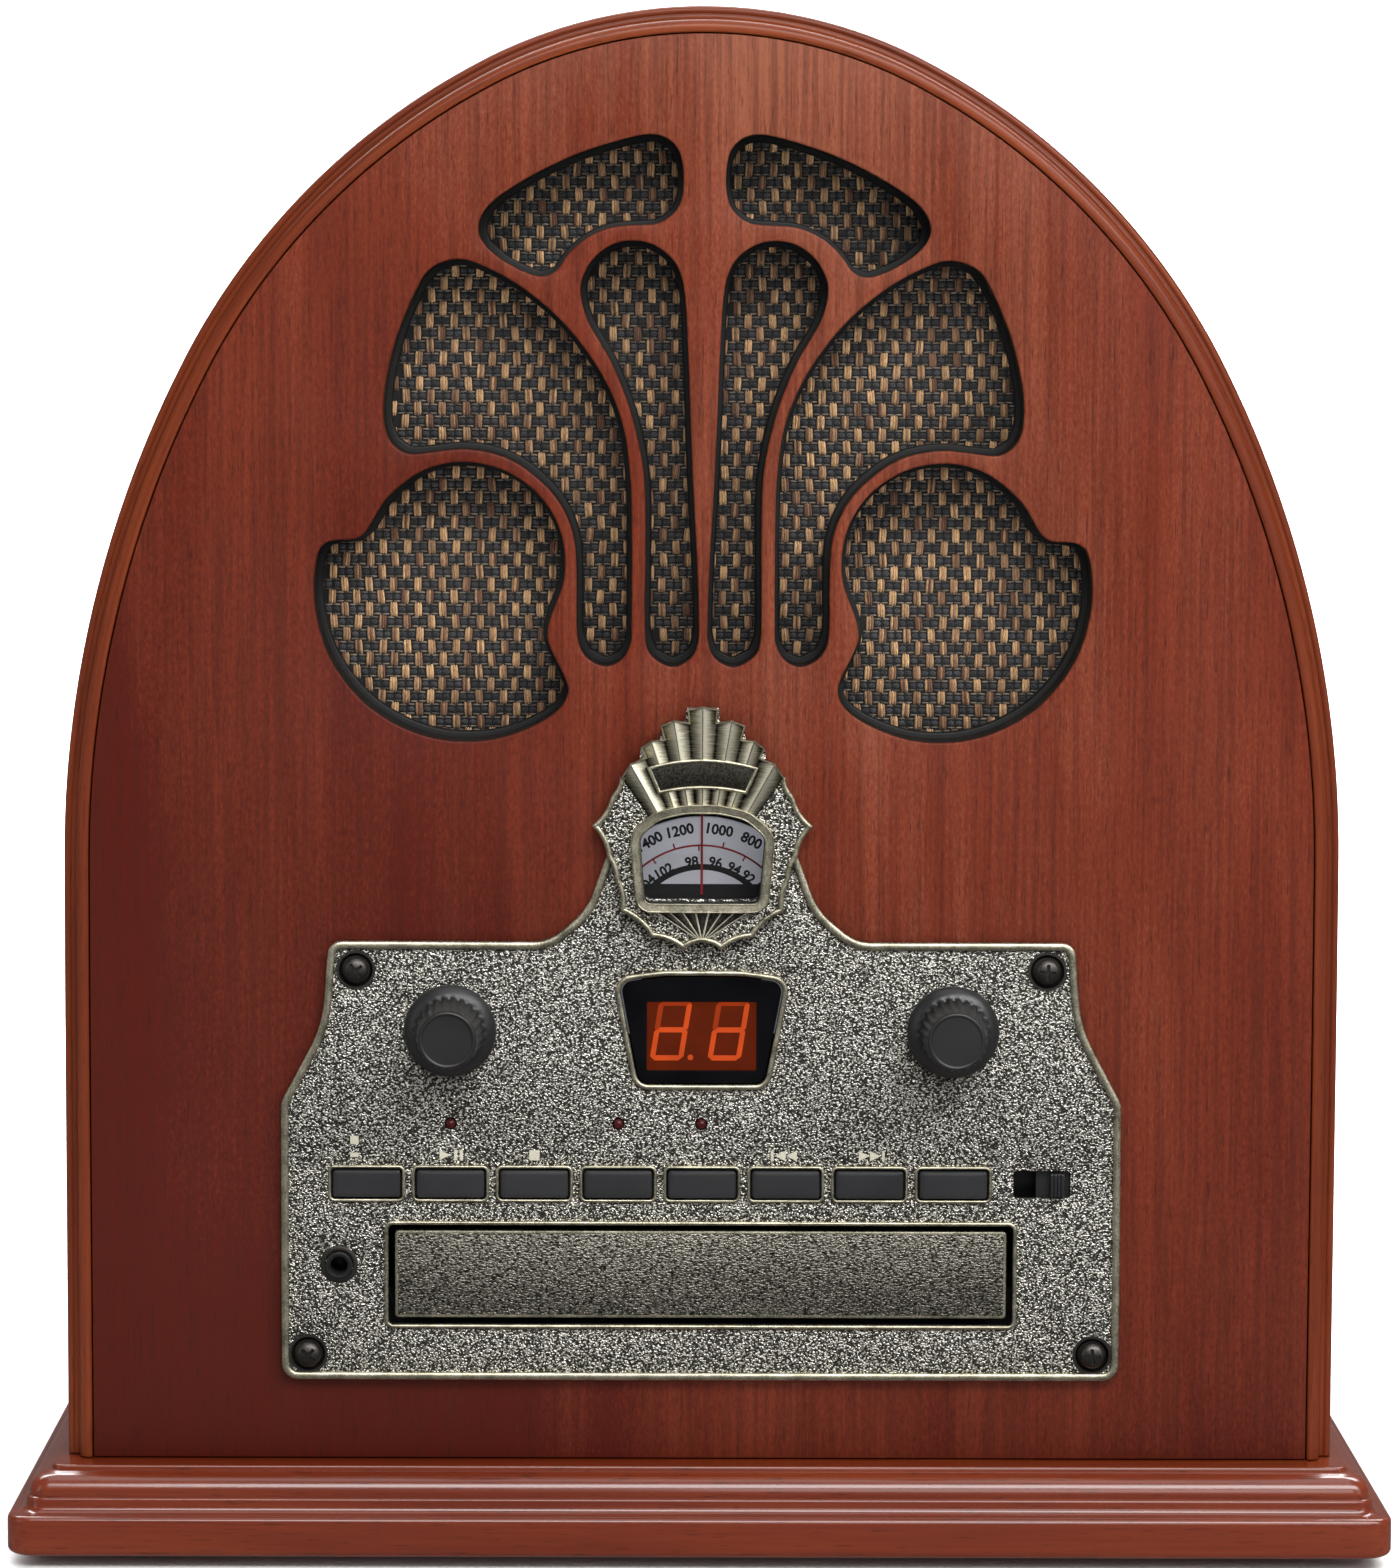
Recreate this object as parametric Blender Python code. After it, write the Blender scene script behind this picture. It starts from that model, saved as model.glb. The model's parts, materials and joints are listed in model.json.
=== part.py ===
"""A cathedral radio: arched wooden cabinet, cast control plate, dial, two knobs, eight keys and a disc drawer.

Every length below is in millimetres and MM turns it into metres. The origin is on the surface that the
radio stands on, at the middle of its footprint. The front faces -Y, +X is to the right and +Z is up.
"""

import math

import bmesh
import bpy

MM = 0.001
ORIGIN = (0.0, 0.0, 0.0)
GAP = 0.3

# Arch of the cabinet: a straight side, then three arcs that meet smoothly on each half.
ARCH_HALF_WIDTH = 135.5
ARCH_SPRING_Z = 148.2
ARCH_SIDE_RADIUS = 230.5
ARCH_SHOULDER_RADIUS = 147.0
ARCH_SIDE_TURN = math.radians(27.5)
ARCH_SHOULDER_TURN = math.radians(62.8)
ARCH_STEPS = (7, 8, 6)

# Depths, from front to back.
PANEL_FRONT = -85.4
PANEL_BACK = -73.4
PLATE_FRONT = -87.4
PLATE_BACK = PANEL_FRONT - GAP
SHELL_BACK = 99.0
BASE_FRONT_TOP = -91.8
BASE_BACK = 102.9
COVER_THICK = 3.0
COVER_BACK = SHELL_BACK - 0.6
COVER_FRONT = COVER_BACK - COVER_THICK

# Cabinet.
FOOT_HEIGHT = 2.3
FOOT_RADIUS = 9.0
FOOT_PLACES = ((-118.0, -78.0), (118.0, -78.0), (-118.0, 80.0), (118.0, 80.0))
BASE_BOTTOM = 2.6
BASE_TOP = 20.5
BASE_TOP_HALF_WIDTH = 137.5
BASE_CORNER_RADIUS = 3.0
CABINET_FOOT = BASE_TOP + GAP
PANEL_INSET = 6.0
SHELL_WALL = 10.0
REBATE_INSET = 4.5

# Control plate and what it carries.
BUTTON_COUNT = 8
BUTTON_FIRST_X = -71.0
BUTTON_PITCH = 17.8
BUTTON_Z = 80.3
BUTTON_SIZE = (14.4, 5.9)
BUTTON_TRAVEL = 1.5
SWITCH_HOLE = (66.4, 78.5, 77.5, 83.3)
SWITCH_LEVER_X = 75.7
KNOB_X = 53.25
KNOB_Z = 113.2
SHAFT_RADIUS = 3.0
SHAFT_HOLE_RADIUS = 3.5
LED_PLACES = ((-53.2, 93.2), (-17.6, 93.2), (0.0, 93.2))
LED_RADIUS = 1.05
JACK_X = -76.9
JACK_Z = 62.8
PLATE_SCREWS = ((-73.2, 126.0), (73.2, 126.0), (-83.5, 43.6), (83.5, 43.6))

# Dial.
DISC_Z = 131.4
DISC_RADIUS = 26.0
DISC_FRONT = -72.8
DRUM_RADIUS = 15.0
PULLEY_RADIUS = 3.0
CORD_FRONT = -70.6
CORD_BACK = -69.6
BRACKET_FRONT = -65.7

# Disc drawer.
DRAWER_HALF_WIDTH = 65.1
DRAWER_Z = (51.3, 70.1)
DRAWER_HOLE_MARGIN = 1.3
TRAY_HALF_WIDTH = 63.5
TRAY_Z = (55.0, 61.5)
TRAY_FRONT = -83.6
TRAY_BACK = 62.0
WELL_Y = -20.0
WELL_RADIUS = 60.5
WELL_FLOOR = 56.6
TRAY_SLOT_HALF = 18.0
RACK_X = -52.0
RACK_Z = (51.0, 55.2)
GEAR_TEETH = 12
GEAR_MODULE = 1.5
GEAR_RADIUS = GEAR_TEETH * GEAR_MODULE / 2
GEAR_Y = -60.0
CHASSIS_HALF_WIDTH = 70.0
CHASSIS_WALL = 3.0
BRIDGE_Z = (63.0, 66.0)
BRIDGE_Y = (-38.0, -2.0)
CLAMP_HOLE_RADIUS = 12.0
TRAVERSE_HINGE = (0.0, 48.0, 45.2)

# Loudspeakers.
SPEAKER_X = 55.0
SPEAKER_Z = 204.0

# Left-hand grille openings, as points on smooth closed curves. The right-hand ones mirror them.
CROWN_OPENING = (
    (-34.8, 272.2), (-41.4, 275.0), (-46.2, 279.0), (-47.3, 283.0), (-44.6, 287.5),
    (-37.3, 292.5), (-27.1, 297.5), (-16.5, 300.9), (-10.5, 301.8), (-6.6, 300.0),
    (-4.8, 296.5), (-4.5, 290.5), (-5.8, 286.2), (-9.5, 283.4), (-14.5, 282.9),
    (-19.5, 282.4), (-24.5, 280.3), (-28.5, 276.8), (-31.0, 273.4),
)
SLOT_OPENING = (
    (-6.4, 190.3), (-10.7, 192.5), (-12.2, 197.0), (-12.2, 212.0), (-12.3, 227.0),
    (-13.2, 235.0), (-15.7, 245.0), (-19.8, 255.0), (-24.2, 262.5), (-25.9, 268.5),
    (-25.3, 272.5), (-23.0, 276.2), (-19.0, 279.0), (-14.7, 279.7), (-10.6, 278.8),
    (-6.4, 275.5), (-4.3, 270.0), (-3.5, 260.0), (-2.9, 245.0), (-2.3, 230.0),
    (-1.3, 212.0), (-0.9, 198.5), (-1.2, 195.0), (-2.6, 192.1),
)
FAN_OPENING = (
    (-20.7, 190.4), (-24.8, 192.5), (-26.5, 197.0), (-26.6, 206.0), (-27.0, 216.0),
    (-29.0, 222.5), (-32.5, 227.6), (-38.3, 232.5), (-43.8, 235.0), (-50.5, 236.0),
    (-57.5, 235.3), (-62.1, 235.0), (-65.5, 237.2), (-67.1, 241.5), (-66.9, 249.0),
    (-64.3, 260.0), (-60.0, 270.0), (-57.0, 274.0), (-52.0, 275.7), (-47.0, 274.6),
    (-38.4, 270.0), (-29.5, 262.5), (-21.9, 252.5), (-17.4, 242.5), (-15.7, 233.0),
    (-15.1, 222.0), (-15.1, 199.0), (-15.4, 195.0), (-17.2, 191.8),
)
LOBE_OPENING = (
    (-50.0, 233.3), (-42.5, 231.8), (-35.7, 227.5), (-31.2, 221.5), (-29.2, 214.5),
    (-29.6, 207.5), (-32.0, 201.0), (-32.7, 196.0), (-30.1, 190.0), (-28.4, 185.5),
    (-30.4, 181.2), (-36.2, 177.5), (-43.5, 175.0), (-50.0, 174.4), (-56.4, 175.0),
    (-63.8, 177.5), (-71.4, 182.5), (-77.5, 190.0), (-80.7, 197.5), (-82.0, 206.0),
    (-81.3, 213.3), (-79.6, 216.1), (-76.5, 216.9), (-73.2, 217.1), (-70.6, 219.2),
    (-67.1, 225.0), (-61.5, 230.0), (-56.2, 232.5),
)
GRILLE_OPENINGS = (CROWN_OPENING, SLOT_OPENING, FAN_OPENING, LOBE_OPENING)

# Right-hand halves of symmetrical outlines, bottom to top, as x, z and corner radius.
PLATE_HALF = (
    (89.2, 38.0, 3.5), (89.2, 97.6, 5.0), (80.4, 114.2, 26.0), (79.0, 132.1, 3.0),
    (32.5, 132.1, 9.0), (24.5, 138.8, 14.0), (20.3, 150.2, 0.5), (16.6, 152.0, 0.5), (15.8, 162.5, 1.5),
)
BADGE_HALF = (
    (1.5, 132.1, 1.0), (3.9, 130.7, 0.5), (10.8, 133.4, 1.0), (17.2, 138.9, 1.0), (18.4, 145.5, 6.0),
    (20.0, 150.2, 6.0), (23.3, 157.0, 0.4), (19.2, 163.2, 5.0), (17.4, 167.3, 0.8), (13.4, 170.2, 0.4),
    (13.1, 173.6, 0.6), (9.1, 174.4, 0.3), (8.8, 178.5, 0.6), (3.7, 179.0, 0.3), (3.4, 182.0, 0.4),
)
DIAL_FRAME_HALF = ((13.9, 138.7, 3.5), (15.4, 155.5, 5.0), (10.0, 160.3, 9.0), (3.5, 161.7, 14.0))
DIAL_WINDOW_HALF = ((12.2, 141.7, 2.0), (13.5, 155.0, 3.5), (9.0, 158.3, 8.0), (3.0, 159.4, 14.0))
DISPLAY_HOLE_HALF = ((13.4, 101.7, 2.5), (17.6, 123.6, 2.5), (8.0, 124.9, 20.0))
CONTROL_APERTURE_HALF = ((82.0, 47.0, 0.0), (82.0, 97.0, 0.0), (68.0, 104.0, 0.0), (68.0, 124.0, 0.0))
DIAL_APERTURE_HALF = ((16.0, 134.5, 0.0), (16.0, 161.0, 0.0))


# ---------------------------------------------------------------------------------------------- outlines


def arc(center, radius, start, end, steps):
    """Points on an arc, both ends included."""
    turns = [start + (end - start) * step / steps for step in range(steps + 1)]
    return [(center[0] + radius * math.cos(turn), center[1] + radius * math.sin(turn)) for turn in turns]


def circle(center, radius, segments=16):
    return arc(center, radius, 0.0, 2 * math.pi, segments)[:-1]


def rectangle(low_a, high_a, low_b, high_b):
    return [(low_a, low_b), (high_a, low_b), (high_a, high_b), (low_a, high_b)]


def rounded(corners, steps=4):
    """An outline through corners given as (x, z, radius), each corner turned by an arc."""
    outline = []
    count = len(corners)
    for index, (x, z, radius) in enumerate(corners):
        before = corners[index - 1]
        after = corners[(index + 1) % count]
        if radius == 0.0:
            outline.append((x, z))
            continue
        to_before = math.atan2(before[1] - z, before[0] - x)
        to_after = math.atan2(after[1] - z, after[0] - x)
        opening = (to_after - to_before + math.pi) % (2 * math.pi) - math.pi
        half = abs(opening) / 2
        middle = to_before + opening / 2
        away = radius / math.sin(half)
        center = (x + away * math.cos(middle), z + away * math.sin(middle))
        sweep = math.copysign(math.pi / 2 - half, opening)
        facing = middle + math.pi
        outline += arc(center, radius, facing + sweep, facing - sweep, steps)
    return outline


def symmetrical(half, steps=4):
    """The rounded outline of a right-hand half and its mirror image."""
    return rounded(list(half) + [(-x, z, radius) for x, z, radius in reversed(half)], steps)


def smooth_loop(points, steps):
    """A closed Catmull-Rom curve through the points, with this many pieces to each stretch."""
    count = len(points)
    outline = []
    for index in range(count):
        a, b, c, d = (points[(index + shift) % count] for shift in (-1, 0, 1, 2))
        for step in range(steps):
            t = step / steps
            weights = (
                -0.5 * t + t**2 - 0.5 * t**3,
                1 - 2.5 * t**2 + 1.5 * t**3,
                0.5 * t + 2 * t**2 - 1.5 * t**3,
                -0.5 * t**2 + 0.5 * t**3,
            )
            outline.append(tuple(sum(w * p[axis] for w, p in zip(weights, (a, b, c, d))) for axis in (0, 1)))
    return outline


def mirrored(outline):
    return [(-x, z) for x, z in outline]


def grown(outline, distance):
    """The outline moved outwards by a distance, or inwards by a negative one."""
    count = len(outline)
    area = sum(outline[i - 1][0] * outline[i][1] - outline[i][0] * outline[i - 1][1] for i in range(count))
    side = distance if area > 0 else -distance
    moved = []
    for index, (x, z) in enumerate(outline):
        before = outline[index - 1]
        after = outline[(index + 1) % count]
        along = math.hypot(after[0] - before[0], after[1] - before[1])
        moved.append((x + side * (after[1] - before[1]) / along, z - side * (after[0] - before[0]) / along))
    return moved


def arch_path(inset):
    """Points (x, z) from the right foot of the arch over its crown to the left foot."""
    side = (ARCH_HALF_WIDTH - ARCH_SIDE_RADIUS, ARCH_SPRING_Z)
    reach = ARCH_SIDE_RADIUS - ARCH_SHOULDER_RADIUS
    shoulder = (
        side[0] + reach * math.cos(ARCH_SIDE_TURN),
        side[1] + reach * math.sin(ARCH_SIDE_TURN),
    )
    drop = -shoulder[0] / math.cos(ARCH_SHOULDER_TURN)
    crown = (0.0, shoulder[1] + drop * math.sin(ARCH_SHOULDER_TURN))
    crown_radius = ARCH_SHOULDER_RADIUS - drop
    half = [(ARCH_HALF_WIDTH - inset, CABINET_FOOT)]
    half += arc(side, ARCH_SIDE_RADIUS - inset, 0.0, ARCH_SIDE_TURN, ARCH_STEPS[0])
    shoulder_radius = ARCH_SHOULDER_RADIUS - inset
    half += arc(shoulder, shoulder_radius, ARCH_SIDE_TURN, ARCH_SHOULDER_TURN, ARCH_STEPS[1])[1:]
    half += arc(crown, crown_radius - inset, ARCH_SHOULDER_TURN, math.pi / 2, ARCH_STEPS[2])[1:]
    return half + [(-x, z) for x, z in reversed(half[:-1])]


def grille_outlines(steps, growth):
    """The eight grille openings, left and right, each grown by a distance."""
    left = [grown(smooth_loop(points, steps), growth) for points in GRILLE_OPENINGS]
    return left + [mirrored(outline) for outline in left]


# ------------------------------------------------------------------------------------------------ solids


def prism(outline, holes, low, high, along="Y"):
    """A flat shape with holes, given depth along an axis."""
    places = {
        "X": lambda a, b, depth: (depth, a, b),
        "Y": lambda a, b, depth: (a, depth, b),
        "Z": lambda a, b, depth: (a, b, depth),
    }
    place = places[along]
    solid = bmesh.new()
    edges = []
    for loop in (outline, *holes):
        verts = [solid.verts.new(place(a, b, low)) for a, b in loop]
        edges += [solid.edges.new(pair) for pair in zip(verts, verts[1:] + verts[:1])]
    bmesh.ops.triangle_fill(solid, use_beauty=True, edges=edges)
    raised = bmesh.ops.extrude_face_region(solid, geom=solid.faces[:])
    verts = [item for item in raised["geom"] if isinstance(item, bmesh.types.BMVert)]
    bmesh.ops.translate(solid, verts=verts, vec=place(0.0, 0.0, high - low))
    return solid


def block(low_x, high_x, low_y, high_y, low_z, high_z):
    return prism(rectangle(low_x, high_x, low_z, high_z), (), low_y, high_y)


def loft(sections):
    """A solid skinned over closed sections that all have the same number of points."""
    solid = bmesh.new()
    rings = [[solid.verts.new(point) for point in section] for section in sections]
    for ring, following in zip(rings, rings[1:]):
        for index in range(len(ring)):
            solid.faces.new((ring[index - 1], ring[index], following[index], following[index - 1]))
    solid.faces.new(rings[0])
    solid.faces.new(rings[-1])
    return solid


def turned(profile, center, along="Y", segments=20, closed=False):
    """A turned solid. The profile is (radius, place along the axis); a closed one makes a ring."""
    solid = bmesh.new()
    rings = []
    for radius, place in profile:
        points = circle(center, radius, segments) if radius > 0.0 else [center]
        if along == "Y":
            rings.append([solid.verts.new((a, place, b)) for a, b in points])
        else:
            rings.append([solid.verts.new((a, b, place)) for a, b in points])
    pairs = list(zip(rings, rings[1:]))
    if closed:
        pairs.append((rings[-1], rings[0]))
    for first, second in pairs:
        for index in range(segments):
            corners = [first[index % len(first)], first[(index + 1) % len(first)]]
            corners += [second[(index + 1) % len(second)], second[index % len(second)]]
            solid.faces.new(list(dict.fromkeys(corners)))
    return solid


def new_object(name, solid, pivot, smooth):
    bmesh.ops.recalc_face_normals(solid, faces=solid.faces)
    bmesh.ops.translate(solid, verts=solid.verts, vec=[-value for value in pivot])
    bmesh.ops.scale(solid, verts=solid.verts, vec=(MM, MM, MM))
    mesh = bpy.data.meshes.new(name)
    solid.to_mesh(mesh)
    solid.free()
    if smooth:
        mesh.shade_smooth()
        mesh.set_sharp_from_angle(angle=math.radians(32.0))
    made = bpy.data.objects.new(name, mesh)
    made.location = [value * MM for value in pivot]
    bpy.context.scene.collection.objects.link(made)
    return made


def add_boolean(made, solid, operation, smooth=False):
    """Joins a solid to an object, or cuts it away, through a helper that isn't rendered."""
    pivot = [value / MM for value in made.location]
    helper = new_object(f"{made.name}.{operation.lower()}_{len(made.modifiers)}", solid, pivot, smooth)
    helper.data.materials.append(made.data.materials[0])
    helper.hide_render = True
    helper.display_type = "WIRE"
    modifier = made.modifiers.new(helper.name, "BOOLEAN")
    modifier.operation = operation
    modifier.solver = "EXACT"
    modifier.object = helper


def piece(name, look, solids, cuts=(), pivot=ORIGIN, smooth=False):
    """One named sub-part: the first solid, with the other solids joined to it and the cuts taken out."""
    made = new_object(name, solids[0], pivot, smooth)
    made.data.materials.append(look)
    for solid in solids[1:]:
        add_boolean(made, solid, "UNION", smooth)
    for solid in cuts:
        add_boolean(made, solid, "DIFFERENCE", smooth)
    return made


def make_look(name, color, roughness, metallic=0.0):
    look = bpy.data.materials.new(name)
    look.use_nodes = True
    shader = look.node_tree.nodes["Principled BSDF"]
    shader.inputs["Base Color"].default_value = (*color, 1.0)
    shader.inputs["Roughness"].default_value = roughness
    shader.inputs["Metallic"].default_value = metallic
    look.diffuse_color = (*color, 1.0)
    return look


def make_looks():
    return {
        "panel_wood": make_look("panel_wood", (0.165, 0.032, 0.012), 0.38),
        "trim_wood": make_look("trim_wood", (0.30, 0.075, 0.022), 0.30),
        "base_wood": make_look("base_wood", (0.14, 0.022, 0.009), 0.22),
        "cast_metal": make_look("cast_metal", (0.36, 0.33, 0.25), 0.34, 1.0),
        "drawer_metal": make_look("drawer_metal", (0.24, 0.20, 0.14), 0.40, 1.0),
        "black_plastic": make_look("black_plastic", (0.018, 0.018, 0.019), 0.42),
        "rubber": make_look("rubber", (0.02, 0.02, 0.02), 0.8),
        "board_black": make_look("board_black", (0.01, 0.01, 0.01), 0.8),
        "cloth": make_look("cloth", (0.30, 0.19, 0.09), 0.9),
        "steel": make_look("steel", (0.45, 0.44, 0.42), 0.35, 1.0),
        "dark_steel": make_look("dark_steel", (0.12, 0.11, 0.10), 0.45, 1.0),
        "clear": make_look("clear", (0.8, 0.8, 0.8), 0.08),
        "smoked": make_look("smoked", (0.09, 0.006, 0.003), 0.1),
        "dial_white": make_look("dial_white", (0.75, 0.73, 0.68), 0.5),
        "cord": make_look("cord", (0.55, 0.5, 0.4), 0.8),
        "led_red": make_look("led_red", (0.25, 0.01, 0.01), 0.2),
        "circuit": make_look("circuit", (0.05, 0.16, 0.07), 0.45),
        "mechanism": make_look("mechanism", (0.035, 0.035, 0.038), 0.5),
        "white_plastic": make_look("white_plastic", (0.72, 0.72, 0.70), 0.45),
        "cone_paper": make_look("cone_paper", (0.03, 0.03, 0.03), 0.85),
        "iron": make_look("iron", (0.16, 0.15, 0.14), 0.6, 1.0),
    }


# ----------------------------------------------------------------------------------------------- cabinet


def base_section(offset, z):
    """One level of the moulded base: front and sides moved out by an offset, flat at the back."""
    half = BASE_TOP_HALF_WIDTH + offset
    front = BASE_FRONT_TOP - offset
    radius = BASE_CORNER_RADIUS
    right = arc((half - radius, front + radius), radius, -math.pi / 2, 0.0, 4)
    left = arc((-half + radius, front + radius), radius, -math.pi, -math.pi / 2, 4)
    return [(x, y, z) for x, y in left + right + [(half, BASE_BACK), (-half, BASE_BACK)]]


def make_base(looks):
    bead = arc((0.9, 15.2), 4.0, math.pi / 2, 0.0, 4)
    cove = arc((8.5, 14.4), 3.2, math.pi, math.pi * 1.45, 4)
    levels = [(0.0, BASE_TOP), (0.3, 19.4)] + bead + cove
    levels += [(9.2, 10.3), (9.2, 4.2), (8.0, BASE_BOTTOM)]
    sections = [base_section(offset, z) for offset, z in levels]
    piece("base_plinth", looks["base_wood"], [loft(sections)])


def make_feet(looks):
    for number, place in enumerate(FOOT_PLACES, start=1):
        profile = ((0.0, FOOT_HEIGHT), (FOOT_RADIUS, FOOT_HEIGHT), (FOOT_RADIUS, 0.6))
        profile += ((FOOT_RADIUS - 0.6, 0.0), (0.0, 0.0))
        piece(f"foot_{number}", looks["rubber"], [turned(profile, place, "Z", 16)], smooth=True)


def make_front_panel(looks):
    holes = grille_outlines(2, 0.0)
    holes.append(symmetrical(CONTROL_APERTURE_HALF))
    holes.append(symmetrical(DIAL_APERTURE_HALF))
    holes += [circle(place, 1.7, 10) for place in PLATE_SCREWS]
    panel = prism(arch_path(PANEL_INSET), holes, PANEL_FRONT, PANEL_BACK)
    piece("front_panel", looks["panel_wood"], [panel])


def sweep_arch(profile):
    """A solid that runs round the arch. The profile is (inset, y)."""
    paths = [arch_path(inset) for inset, _ in profile]
    sections = []
    for index in range(len(paths[0])):
        sections.append([(path[index][0], y, path[index][1]) for path, (_, y) in zip(paths, profile)])
    return loft(sections)


def make_arch_moulding(looks):
    inner = PANEL_INSET - GAP
    profile = (
        (inner, PANEL_FRONT), (4.4, -85.5), (3.4, -84.0), (2.3, -81.4),
        (0.9, -81.0), (0.0, -79.6), (0.0, PANEL_BACK), (inner, PANEL_BACK),
    )
    piece("arch_moulding", looks["trim_wood"], [sweep_arch(profile)])


def rear_screw_places():
    """Two places on each side of the arch, on the step that the rear cover rests on."""
    path = arch_path((REBATE_INSET + SHELL_WALL) / 2)
    right = [(path[0][0], 50.0), path[ARCH_STEPS[0] + 5]]
    return right + mirrored(right)


def make_shell(looks):
    front = PANEL_BACK + GAP
    step = COVER_FRONT - GAP
    profile = (
        (0.0, front), (0.0, SHELL_BACK), (REBATE_INSET, SHELL_BACK),
        (REBATE_INSET, step), (SHELL_WALL, step), (SHELL_WALL, front),
    )
    cuts = [prism(circle(place, 1.8, 10), (), step - 9.0, step + 1.0) for place in rear_screw_places()]
    piece("cabinet_shell", looks["base_wood"], [sweep_arch(profile)], cuts)


def make_rear_cover(looks):
    slot_half, slot_height, slot_rise = 26.0, 3.4, 9.0
    holes = []
    for side in (-1, 1):
        for row in range(8):
            low = 176.0 + row * slot_rise
            holes.append(rectangle(side * 38 - slot_half, side * 38 + slot_half, low, low + slot_height))
    holes += [circle(place, 1.9, 10) for place in rear_screw_places()]
    holes.append(rectangle(50.0, 70.0, 38.0, 52.0))
    cover = prism(arch_path(REBATE_INSET + GAP), holes, COVER_FRONT, COVER_BACK)
    piece("rear_cover", looks["black_plastic"], [cover])
    for number, place in enumerate(rear_screw_places(), start=1):
        screw = screw_solid(place, COVER_BACK + GAP, 1, 9.5)
        piece(f"rear_screw_{number}", looks["dark_steel"], [screw], smooth=True)


def screw_solid(place, seat, facing, length):
    """A pan-head screw whose head sits on a seat and faces -Y (-1) or +Y (1)."""
    outline = ((0.0, 1.5), (1.4, 1.4), (2.3, 1.0), (2.7, 0.4), (2.7, 0.0))
    outline += ((1.45, 0.0), (1.45, 1.2 - length), (0.0, -length))
    return turned([(radius, seat + facing * depth) for radius, depth in outline], place, "Y", 10)


def make_grille_back(looks):
    bottom, inset = 168.0, 14.0
    outline = [point for point in arch_path(inset) if point[1] > bottom]
    corner = ARCH_HALF_WIDTH - inset - 1.5
    outline = [(corner, bottom)] + outline + [(-corner, bottom)]
    holes = [grown(hole, -1.2) for hole in grille_outlines(1, 0.0)]
    front = PANEL_BACK + GAP
    piece("grille_board", looks["board_black"], [prism(outline, holes, front, front + 2.5)])
    cloth_front = front + 2.5 + GAP
    piece("grille_cloth", looks["cloth"], [prism(outline, (), cloth_front, cloth_front + 0.8)])
    return cloth_front + 0.8


def make_speakers(looks, front):
    for side, word in ((-1, "left"), (1, "right")):
        center = (side * SPEAKER_X, SPEAKER_Z)
        piece(f"speaker_frame_{word}", looks["iron"], [speaker_frame(center, front)], smooth=True)
        piece(f"speaker_cone_{word}", looks["cone_paper"], [speaker_cone(center, front)], smooth=True)


def speaker_frame(center, front):
    """Basket and magnet, turned as one ring-shaped profile with a closed back."""
    profile = (
        (0.0, front + 26.0), (17.0, front + 23.5), (34.2, front + 1.5), (34.2, front), (38.5, front),
        (38.5, front + 1.6), (36.0, front + 1.8), (19.0, front + 25.0), (24.0, front + 25.5),
        (24.0, front + 38.0), (0.0, front + 38.0),
    )
    return turned(profile, center, "Y", 18)


def speaker_cone(center, front):
    profile = (
        (0.0, front + 14.0), (6.0, front + 15.2), (9.0, front + 19.0), (27.0, front + 4.0),
        (31.0, front + 2.4), (33.4, front + 1.0), (33.4, front + 1.8), (31.0, front + 3.2),
        (27.4, front + 4.8), (9.6, front + 21.0), (0.0, front + 21.0),
    )
    return turned(profile, center, "Y", 18)


# ------------------------------------------------------------------------------------------ control plate


def button_x(index):
    return BUTTON_FIRST_X + index * BUTTON_PITCH


def drawer_hole():
    margin = DRAWER_HOLE_MARGIN
    half = DRAWER_HALF_WIDTH + margin
    return rectangle(-half, half, DRAWER_Z[0] - margin, DRAWER_Z[1] + margin)


def make_faceplate(looks):
    half_x, half_z = BUTTON_SIZE[0] / 2 + GAP, BUTTON_SIZE[1] / 2 + GAP
    holes = [drawer_hole(), rectangle(*SWITCH_HOLE), symmetrical(DISPLAY_HOLE_HALF)]
    holes.append(grown(symmetrical(DIAL_WINDOW_HALF), 0.4))
    for index in range(BUTTON_COUNT):
        x = button_x(index)
        holes.append(rectangle(x - half_x, x + half_x, BUTTON_Z - half_z, BUTTON_Z + half_z))
    holes += [circle((side * KNOB_X, KNOB_Z), SHAFT_HOLE_RADIUS, 16) for side in (-1, 1)]
    holes += [circle(place, LED_RADIUS + GAP, 10) for place in LED_PLACES]
    holes += [circle(place, 1.8, 10) for place in PLATE_SCREWS]
    holes.append(circle((JACK_X, JACK_Z), 2.9, 16))
    plate = prism(symmetrical(PLATE_HALF), holes, PLATE_FRONT, PLATE_BACK)
    piece("faceplate", looks["cast_metal"], [plate])
    for number, place in enumerate(PLATE_SCREWS, start=1):
        screw = screw_solid(place, PLATE_FRONT - GAP, -1, 8.5)
        piece(f"faceplate_screw_{number}", looks["dark_steel"], [screw], smooth=True)


def make_badge(looks):
    window = symmetrical(DIAL_WINDOW_HALF)
    back = PLATE_FRONT - GAP
    plate = prism(symmetrical(BADGE_HALF, 3), [window], back - 1.7, back)
    frame = prism(symmetrical(DIAL_FRAME_HALF), [grown(window, 0.25)], back - 3.4, back - 1.0)
    piece("dial_badge", looks["cast_metal"], [plate, frame])
    piece("dial_lens", looks["clear"], [prism(symmetrical(DIAL_WINDOW_HALF), (), back + 0.4, back + 1.4)])


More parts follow.
